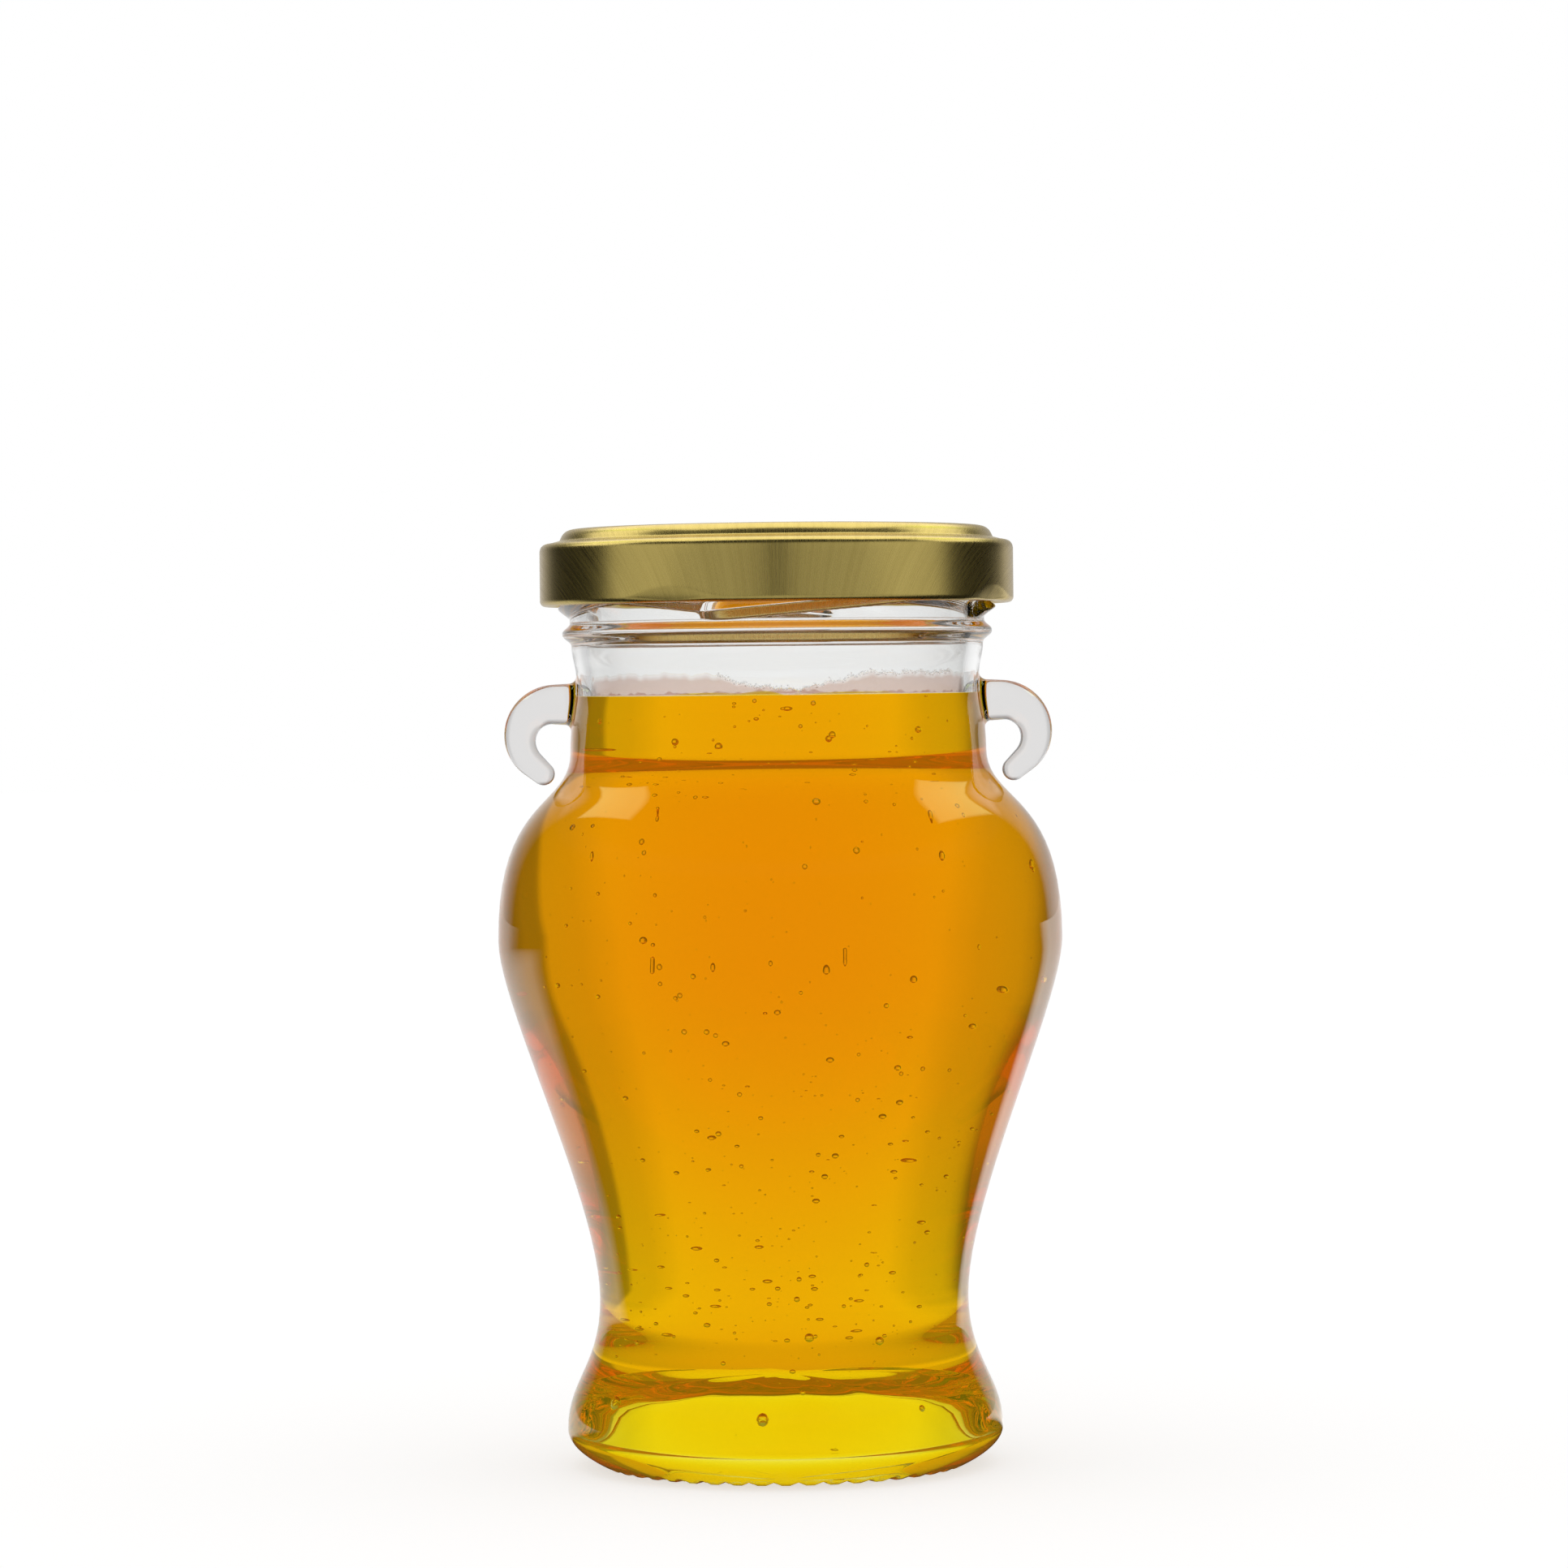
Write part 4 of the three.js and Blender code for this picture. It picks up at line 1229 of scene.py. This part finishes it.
def level_by_angle(tree, parts, levels):
    """Brightness by the angle round the jar, from a list of angles and levels."""
    turn = reckon(tree, "ARCTAN2", parts.outputs["X"], parts.outputs["Y"])
    ramp = tree.nodes.new("ShaderNodeValToRGB")
    stops = ramp.color_ramp.elements
    while len(stops) < len(levels):
        stops.new(1.0)
    for stop, (angle, level) in zip(stops, levels):
        stop.position = (angle + 180) / 360
        stop.color = (level, level, level, 1.0)
    tree.links.new(stretch(tree, turn, -math.pi, math.pi, 0.0, 1.0), ramp.inputs["Fac"])
    return ramp.outputs["Color"]


def panel_between(sides):
    """Levels of the white panel behind the jar with the same sides left and right of it."""
    left = tuple((-angle, level) for angle, level in reversed(sides))
    return left + PANEL_LEVELS + sides


def world_light(settings):
    """Studio round the jar: a white panel behind it, dimmer sides, and a dark room that the glass mirrors."""
    world = bpy.data.worlds.new("studio")
    bpy.context.scene.world = world
    world.use_nodes = True
    tree = world.node_tree
    nodes, links = tree.nodes, tree.links
    direction = nodes.new("ShaderNodeTexCoord")
    parts = nodes.new("ShaderNodeSeparateXYZ")
    links.new(direction.outputs["Generated"], parts.inputs["Vector"])
    rise = parts.outputs["Z"]
    through = level_by_angle(tree, parts, panel_between(ROOM_SIDES))
    through = reckon(tree, "MULTIPLY", through, stretch(tree, rise, *CEILING_FADE))
    panel = stretch(tree, rise, *PANEL_FADE)
    for change in (PANEL_STRIP, PANEL_TOP):
        panel = reckon(tree, "MULTIPLY", panel, stretch(tree, rise, *change))
    mirrored = reckon(tree, "MULTIPLY", level_by_angle(tree, parts, MIRROR_LEVELS), panel)
    path = nodes.new("ShaderNodeLightPath")
    level = choose(tree, path.outputs["Is Glossy Ray"], settings.fill_level, mirrored)
    level = choose(tree, path.outputs["Is Transmission Ray"], level, through)
    level = choose(tree, path.outputs["Is Camera Ray"], level, 1.0)
    links.new(level, nodes["Background"].inputs["Strength"])
    nodes["Background"].inputs["Color"].default_value = (1.0, 1.0, 1.0, 1.0)


def floor_material(settings):
    """Pale floor that shows as white, takes the jar's shadow and joins the studio where glass shows it."""
    material, shader = new_material("pale_floor")
    tree = material.node_tree
    nodes, links = tree.nodes, tree.links
    shader.inputs["Roughness"].default_value = 0.9
    shader.inputs["Specular IOR Level"].default_value = 0.0
    shader.inputs["Emission Color"].default_value = (1.0, 1.0, 1.0, 1.0)
    spot = nodes.new("ShaderNodeNewGeometry")
    parts = nodes.new("ShaderNodeSeparateXYZ")
    links.new(spot.outputs["Position"], parts.inputs["Vector"])
    reach = nodes.new("ShaderNodeVectorMath")
    reach.operation = "LENGTH"
    links.new(spot.outputs["Position"], reach.inputs[0])
    far = stretch(tree, reach.outputs["Value"], FLOOR_NEAR, FLOOR_FAR, 0.0, 1.0)
    # Painted shadow under and beside the jar, in the floor's glow that glass shows.
    near = stretch(tree, reach.outputs["Value"], UNDER_JAR, BESIDE_JAR, UNDER_LEVEL, 1.0)
    distant = stretch(tree, reach.outputs["Value"], FLOOR_LIT, FLOOR_DIM, 0.0, 1.0)
    lit = level_by_angle(tree, parts, panel_between(FLOOR_SIDES))
    around = choose(tree, distant, lit, level_by_angle(tree, parts, panel_between(ROOM_SIDES)))
    around = choose(tree, far, BASE_LEVEL, around)
    through = reckon(tree, "MULTIPLY", near, around)
    away = stretch(tree, reach.outputs["Value"], MIRROR_NEAR, MIRROR_FAR, 0.0, 1.0)
    beside = level_by_angle(tree, parts, NEAR_MIRROR_LEFT + FLOOR_MIRROR_RIGHT)
    beyond = level_by_angle(tree, parts, FAR_MIRROR_LEFT + FLOOR_MIRROR_RIGHT)
    mirrored = choose(tree, away, beside, beyond)
    path = nodes.new("ShaderNodeLightPath")
    glow = reckon(tree, "MULTIPLY", path.outputs["Is Camera Ray"], settings.floor_lift)
    glow = choose(tree, path.outputs["Is Glossy Ray"], glow, mirrored)
    glow = choose(tree, path.outputs["Is Transmission Ray"], glow, through)
    links.new(glow, shader.inputs["Emission Strength"])
    in_glass = reckon(tree, "MAXIMUM", path.outputs["Is Glossy Ray"], path.outputs["Is Transmission Ray"])
    tone = nodes.new("ShaderNodeMix")
    tone.data_type = "RGBA"
    tone.inputs["A"].default_value = (*settings.floor_colour, 1.0)
    tone.inputs["B"].default_value = (0.0, 0.0, 0.0, 1.0)
    links.new(in_glass, tone.inputs["Factor"])
    links.new(tone.outputs["Result"], shader.inputs["Base Color"])
    return material


def toward(bearing, height):
    """Direction at an angle to the right of straight behind the jar and an angle above level."""
    bearing, height = math.radians(bearing), math.radians(height)
    level = math.cos(height)
    return Vector((math.sin(bearing) * level, math.cos(bearing) * level, math.sin(height)))


def glow_card(name, corners, settings):
    """Lit card with softened edges that only shows where the glass or the lid mirrors it."""
    material = bpy.data.materials.new(name)
    material.use_nodes = True
    tree = material.node_tree
    nodes, links = tree.nodes, tree.links
    nodes.clear()
    shine = nodes.new("ShaderNodeEmission")
    shine.inputs["Color"].default_value = (*settings.card_colour, 1.0)
    end = nodes.new("ShaderNodeOutputMaterial")
    spot = nodes.new("ShaderNodeTexCoord")
    parts = nodes.new("ShaderNodeSeparateXYZ")
    links.new(spot.outputs["UV"], parts.inputs["Vector"])
    shares = []
    for axis in "XY":
        span = reckon(tree, "SUBTRACT", parts.outputs[axis], 0.5)
        shares.append(reckon(tree, "ABSOLUTE", span, 0.0))
    to_edge = reckon(tree, "MAXIMUM", *shares)
    links.new(stretch(tree, to_edge, *CARD_FADE, settings.card_level, 0.0), shine.inputs["Strength"])
    links.new(shine.outputs["Emission"], end.inputs["Surface"])
    mesh = bpy.data.meshes.new(name)
    points = [Vector(SHOULDER_MIDDLE) + CARD_DISTANCE * toward(*corner) for corner in corners]
    mesh.from_pydata(points, [], [(0, 1, 2, 3)])
    sheet = mesh.uv_layers.new(name="card")
    sheet.data.foreach_set("uv", [0.0, 0.0, 1.0, 0.0, 1.0, 1.0, 0.0, 1.0])
    mesh.materials.append(material)
    card = bpy.data.objects.new(name, mesh)
    card.visible_camera = False
    card.visible_transmission = False
    card.visible_diffuse = False
    card.visible_shadow = False
    bpy.context.scene.collection.objects.link(card)


def lit_lid():
    """Group of the pieces that the soft boxes light."""
    return bpy.data.collections.get(LID_GROUP) or bpy.data.collections.new(LID_GROUP)


def soft_box(name, place, size, level, aim):
    """Soft box that lights only the lid, with a given brightness of its face."""
    lamp = bpy.data.lights.new(name, "AREA")
    lamp.shape = "RECTANGLE"
    lamp.size, lamp.size_y = size
    lamp.energy = level * math.pi * size[0] * size[1]
    holder = bpy.data.objects.new(name, lamp)
    holder.location = place
    holder.rotation_euler = (Vector(aim) - Vector(place)).to_track_quat("-Z", "Y").to_euler()
    holder.light_linking.receiver_collection = lit_lid()
    holder.visible_transmission = False
    holder.visible_camera = False
    bpy.context.scene.collection.objects.link(holder)


def lid_lamps(settings):
    """Soft boxes beside, before, above and below the lid."""
    pairs = (
        ("soft_box", SIDE_BOX, settings.side_lamp),
        ("front_box", FRONT_BOX, settings.front_lamp),
        ("high_box", HIGH_BOX, settings.high_lamp),
    )
    for side, word in ((-1.0, "left"), (1.0, "right")):
        for name, (place, size), level in pairs:
            soft_box(word + "_" + name, (side * place[0], *place[1:]), size, level, LID_MIDDLE)
    soft_box("top_soft_box", *TOP_BOX, settings.top_lamp, LID_MIDDLE)
    soft_box("table_soft_box", *TABLE_BOX, settings.table_lamp, TABLE_AIM)


def make_floor(settings):
    """Wide floor just under the foot ring."""
    mesh = bpy.data.meshes.new("floor")
    signs = ((-1, -1), (1, -1), (1, 1), (-1, 1))
    corners = [(x * FLOOR_HALF, y * FLOOR_HALF, -FLOOR_DROP) for x, y in signs]
    mesh.from_pydata(corners, [], [(0, 1, 2, 3)])
    mesh.materials.append(floor_material(settings))
    floor = bpy.data.objects.new("floor", mesh)
    bpy.context.scene.collection.objects.link(floor)


def make_camera(settings):
    """Camera at the photograph's eye level, a little tilted down and rolled."""
    camera = bpy.data.cameras.new("camera")
    camera.sensor_width = 36.0
    camera.lens = settings.lens
    camera.clip_start = 0.01
    camera.clip_end = 50.0
    holder = bpy.data.objects.new("camera", camera)
    pitch = settings.pitch
    ahead = Vector((0.0, math.cos(pitch), -math.sin(pitch)))
    right = Vector((1.0, 0.0, 0.0))
    above = right.cross(ahead)
    roll = settings.roll
    side = right * math.cos(roll) + above * math.sin(roll)
    top = above * math.cos(roll) - right * math.sin(roll)
    axes = Matrix((side, top, -ahead)).transposed()
    place = (settings.aside, -settings.distance, settings.eye_level)
    holder.matrix_world = Matrix.Translation(place) @ axes.to_4x4()
    bpy.context.scene.collection.objects.link(holder)
    bpy.context.scene.camera = holder


# Values that a user may change

class GlassSettings(bpy.types.PropertyGroup):
    """Finish of the glass."""

    colour: bpy.props.FloatVectorProperty(
        name="Glass colour", description="Tint of the glass", subtype="COLOR", size=3,
        default=(0.985, 0.99, 0.985), min=0.0, max=1.0)
    # Partly the glass's own tint and partly painted shade: this grey darkens the thick ears more than their
    # glass alone would.
    ear_tint_and_shade: bpy.props.FloatVectorProperty(
        name="Ear colour", description="Tint of the thick glass of the ears", subtype="COLOR", size=3,
        default=(0.83, 0.82, 0.815), min=0.0, max=1.0)
    ior: bpy.props.FloatProperty(
        name="Glass bending", description="Refractive index of the glass", default=1.52, min=1.0, max=2.0)
    waviness: bpy.props.FloatProperty(
        name="Waviness", description="Strength of the pressed glass's faint waves",
        subtype="FACTOR", default=0.05, min=0.0, max=1.0)


class HoneySettings(bpy.types.PropertyGroup):
    """Colour of the honey and the bubbles in it."""

    colour: bpy.props.FloatVectorProperty(
        name="Honey colour", description="Colour that light keeps longest in the honey", subtype="COLOR",
        size=3, default=(0.9953, 0.939, 0.0), min=0.0, max=1.0)
    clearness: bpy.props.FloatVectorProperty(
        name="Clearness", description="Share of light that the honey lets in", subtype="COLOR", size=3,
        default=(0.9, 0.9, 0.9), min=0.0, max=1.0)
    # Painted glow: the honey body gives off light in this colour and at this strength whatever the lamps do.
    haze_glow_colour: bpy.props.FloatVectorProperty(
        name="Haze colour", description="Colour of the light that the honey's faint haze gives back",
        subtype="COLOR", size=3, default=(1.0, 0.95, 0.02), min=0.0, max=1.0)
    haze_glow: bpy.props.FloatProperty(
        name="Haze", description="How much light the honey's faint haze gives back",
        subtype="FACTOR", default=0.05, min=0.0, max=1.0)
    depth: bpy.props.FloatProperty(
        name="Honey depth", description="How quickly the honey colours light, per metre",
        default=300.0, min=0.0, max=2000.0)
    bubbles: bpy.props.IntProperty(
        name="Fine bubbles", description="Number of fine bubbles in the honey", default=800, min=0, max=2000)
    smallest: bpy.props.FloatProperty(
        name="Smallest bubble", description="Radius of the smallest bubble", subtype="DISTANCE",
        unit="LENGTH", default=0.00007, min=0.00001, max=0.001)
    largest: bpy.props.FloatProperty(
        name="Largest fine bubble", description="Radius of the largest fine bubble", subtype="DISTANCE",
        unit="LENGTH", default=0.00042, min=0.00001, max=0.002)
    beads: bpy.props.IntProperty(
        name="Beads", description="Number of beads on the edge of the clinging honey",
        default=420, min=0, max=2000)
    bead_colour: bpy.props.FloatVectorProperty(
        name="Bead colour", description="Colour of the beads on the edge of the clinging honey",
        subtype="COLOR",
        size=3, default=(0.9, 0.89, 0.87), min=0.0, max=1.0)
    bead_glow: bpy.props.FloatProperty(
        name="Bead glow", description="Light that the milky beads give back", subtype="FACTOR",
        default=0.45, min=0.0, max=1.0)
    film_colour: bpy.props.FloatVectorProperty(
        name="Film colour", description="Tint of the thin honey that clings to the neck", subtype="COLOR",
        size=3, default=(0.78, 0.635, 0.575), min=0.0, max=1.0)
    seed: bpy.props.IntProperty(
        name="Seed", description="Start of the random places of the bubbles", default=7)


class LidSettings(bpy.types.PropertyGroup):
    """Finish of the lid."""

    colour: bpy.props.FloatVectorProperty(
        name="Lid colour", description="Lighter tone of the gold lacquer", subtype="COLOR", size=3,
        default=(0.62, 0.48, 0.13), min=0.0, max=1.0)
    shade: bpy.props.FloatVectorProperty(
        name="Lid shade", description="Darker tone of the gold lacquer", subtype="COLOR", size=3,
        default=(0.56, 0.43, 0.11), min=0.0, max=1.0)
    roughness: bpy.props.FloatProperty(
        name="Roughness", description="Dullness of the lacquer", subtype="FACTOR",
        default=0.27, min=0.05, max=1.0)
    edge_colour: bpy.props.FloatVectorProperty(
        name="Lid edge colour", description="Tone of the lid where it is seen edge-on",
        subtype="COLOR", size=3,
        default=(0.75, 0.7, 0.66), min=0.0, max=1.0)
    coat: bpy.props.FloatProperty(
        name="Coat", description="Strength of the clear lacquer's own white sheen", subtype="FACTOR",
        default=0.5, min=0.0, max=1.0)
    brush_fineness: bpy.props.FloatProperty(
        name="Brush fineness", description="Brush lines per metre of sheet",
        default=9000.0, min=100.0, max=20000.0)


class SealSettings(bpy.types.PropertyGroup):
    """Finish of the sealing ring."""

    colour: bpy.props.FloatVectorProperty(
        name="Seal colour", description="Colour of the soft compound", subtype="COLOR", size=3,
        default=(0.8, 0.76, 0.66), min=0.0, max=1.0)


class StageSettings(bpy.types.PropertyGroup):
    """Floor, studio light and camera."""

    floor_colour: bpy.props.FloatVectorProperty(
        name="Floor colour", description="Colour of the floor", subtype="COLOR", size=3,
        default=(0.8, 0.8, 0.8), min=0.0, max=1.0)
    floor_lift: bpy.props.FloatProperty(
        name="Floor lift", description="Light added where the floor is seen", default=0.62, min=0.0, max=1.0)
    fill_level: bpy.props.FloatProperty(
        name="Fill level", description="Even light on dull surfaces", default=0.5, min=0.0, max=1.0)
    card_level: bpy.props.FloatProperty(
        name="Card level", description="Brightness of the two cards that the shoulder mirrors",
        default=1.8, min=0.0, max=20.0)
    card_colour: bpy.props.FloatVectorProperty(
        name="Card colour", description="Colour of the light of the two cards", subtype="COLOR", size=3,
        default=(0.85, 1.0, 0.45), min=0.0, max=1.0)
    side_lamp: bpy.props.FloatProperty(
        name="Side lamps", description="Brightness of the soft boxes beside the lid",
        default=0.68, min=0.0, max=20.0)
    top_lamp: bpy.props.FloatProperty(
        name="Top lamp", description="Brightness of the soft box over the lid",
        default=1.6, min=0.0, max=20.0)
    front_lamp: bpy.props.FloatProperty(
        name="Front lamps", description="Brightness of the soft boxes before the lid", default=0.5,
        min=0.0, max=20.0)
    high_lamp: bpy.props.FloatProperty(
        name="High lamps", description="Brightness of the soft boxes high beside the lid", default=1.6,
        min=0.0, max=20.0)
    table_lamp: bpy.props.FloatProperty(
        name="Table lamp", description="Brightness that the table gives back to the lid", default=0.5,
        min=0.0, max=20.0)
    lens: bpy.props.FloatProperty(
        name="Lens", description="Focal length of the camera, in millimetres",
        default=131.63, min=20.0, max=400.0)
    distance: bpy.props.FloatProperty(
        name="Camera distance", description="From the camera to the jar's axis", subtype="DISTANCE",
        unit="LENGTH", default=0.8, min=0.2, max=5.0)
    eye_level: bpy.props.FloatProperty(
        name="Eye level", description="Height of the camera", subtype="DISTANCE", unit="LENGTH",
        default=0.1071, min=0.0, max=2.0)
    aside: bpy.props.FloatProperty(
        name="Camera aside", description="Camera's place to the right of the axis", subtype="DISTANCE",
        unit="LENGTH", default=0.00074, min=-1.0, max=1.0)
    pitch: bpy.props.FloatProperty(
        name="Camera pitch", description="Tilt of the camera below level", subtype="ANGLE", unit="ROTATION",
        default=math.radians(0.89), min=-1.5, max=1.5)
    roll: bpy.props.FloatProperty(
        name="Camera roll", description="Roll of the camera", subtype="ANGLE", unit="ROTATION",
        default=math.radians(-0.62), min=-1.5, max=1.5)


class JarSettings(bpy.types.PropertyGroup):
    """All the values of the jar and its stage."""

    glass: bpy.props.PointerProperty(type=GlassSettings)
    honey: bpy.props.PointerProperty(type=HoneySettings)
    lid: bpy.props.PointerProperty(type=LidSettings)
    seal: bpy.props.PointerProperty(type=SealSettings)
    stage: bpy.props.PointerProperty(type=StageSettings)


# Operators

class HONEYJAR_OT_glass(bpy.types.Operator):
    """Make the glass jar with its ears, ramps and foot ring"""

    bl_idname = "honey_jar.glass"
    bl_label = "Glass"

    def execute(self, context):
        materials = glass_materials(context.scene.honey_jar.glass)
        mesh = glass_skin().mesh("glass_jar_visual", materials)
        new_object("glass_jar_visual", mesh, "jar", "clear_glass", "glass_jar")
        return {"FINISHED"}


class HONEYJAR_OT_honey(bpy.types.Operator):
    """Make the honey with its skin and bubbles"""

    bl_idname = "honey_jar.honey"
    bl_label = "Honey"

    def execute(self, context):
        settings = context.scene.honey_jar.honey
        materials = honey_materials(settings)
        skin = honey_skin()
        places = bubble_places(settings.bubbles, settings.smallest / MM, settings.largest / MM, settings.seed)
        bubbles = bubble_mesh(places, materials[1])
        skin.add(bubbles, 1)
        bpy.data.meshes.remove(bubbles)
        mesh = skin.mesh("honey_visual", materials)
        new_object("honey_visual", mesh, "jar", "honey", "honey_fill")
        return {"FINISHED"}


class HONEYJAR_OT_film(bpy.types.Operator):
    """Make the thin coat of honey on the neck"""

    bl_idname = "honey_jar.film"
    bl_label = "Honey Film"

    def execute(self, context):
        mesh = film_mesh(context.scene.honey_jar.honey)
        new_object("honey_film", mesh, "jar", "honey")
        return {"FINISHED"}


class HONEYJAR_OT_seal(bpy.types.Operator):
    """Make the sealing ring"""

    bl_idname = "honey_jar.seal"
    bl_label = "Sealing Ring"

    def execute(self, context):
        material = seal_material(context.scene.honey_jar.seal)
        mesh = seal_skin().mesh("sealing_ring_visual", [material])
        new_object("sealing_ring_visual", mesh, "seal", "seal_compound", "sealing_ring")
        return {"FINISHED"}


class HONEYJAR_OT_lid(bpy.types.Operator):
    """Make the twist-off lid"""

    bl_idname = "honey_jar.lid"
    bl_label = "Lid"

    def execute(self, context):
        mesh = lid_mesh([gold_material(context.scene.honey_jar.lid)])
        piece = new_object("twist_lid_visual", mesh, "lid", "gold_tinplate", "twist_lid")
        lit_lid().objects.link(piece)
        return {"FINISHED"}


class HONEYJAR_OT_stage(bpy.types.Operator):
    """Set the floor, the studio light and the camera"""

    bl_idname = "honey_jar.stage"
    bl_label = "Stage"

    def execute(self, context):
        settings = context.scene.honey_jar.stage
        world_light(settings)
        make_floor(settings)
        glow_card("left_card", LEFT_CARD, settings)
        glow_card("right_card", RIGHT_CARD, settings)
        lid_lamps(settings)
        make_camera(settings)
        context.scene.view_settings.view_transform = "Standard"
        cycles = context.scene.cycles
        cycles.max_bounces = CLEAR_BOUNCES
        cycles.transmission_bounces = CLEAR_BOUNCES
        cycles.glossy_bounces = GLOSSY_BOUNCES
        return {"FINISHED"}


class HONEYJAR_PT_panel(bpy.types.Panel):
    """Sidebar panel that lists the jar's makers and values"""

    bl_idname = "HONEYJAR_PT_panel"
    bl_label = "Glass Honey Jar"
    bl_space_type = "VIEW_3D"
    bl_region_type = "UI"
    bl_category = "Honey Jar"

    def draw(self, context):
        settings = context.scene.honey_jar
        for maker, group in MAKERS:
            box = self.layout.box()
            box.operator(maker.bl_idname)
            if group:
                values = getattr(settings, group)
                for key in values.bl_rna.properties.keys():
                    if key not in ("rna_type", "name"):
                        box.prop(values, key)


MAKERS = (
    (HONEYJAR_OT_glass, "glass"),
    (HONEYJAR_OT_honey, "honey"),
    (HONEYJAR_OT_film, None),
    (HONEYJAR_OT_seal, "seal"),
    (HONEYJAR_OT_lid, "lid"),
    (HONEYJAR_OT_stage, "stage"),
)
CLASSES = (
    GlassSettings, HoneySettings, LidSettings, SealSettings, StageSettings, JarSettings,
    *(maker for maker, group in MAKERS), HONEYJAR_PT_panel,
)


def register():
    for entry in CLASSES:
        bpy.utils.register_class(entry)
    bpy.types.Scene.honey_jar = bpy.props.PointerProperty(type=JarSettings)


def unregister():
    del bpy.types.Scene.honey_jar
    for entry in reversed(CLASSES):
        bpy.utils.unregister_class(entry)


def main():
    register()
    bpy.ops.honey_jar.glass()
    bpy.ops.honey_jar.honey()
    bpy.ops.honey_jar.film()
    bpy.ops.honey_jar.seal()
    bpy.ops.honey_jar.lid()
    bpy.ops.honey_jar.stage()


if __name__ == "__main__":
    main()
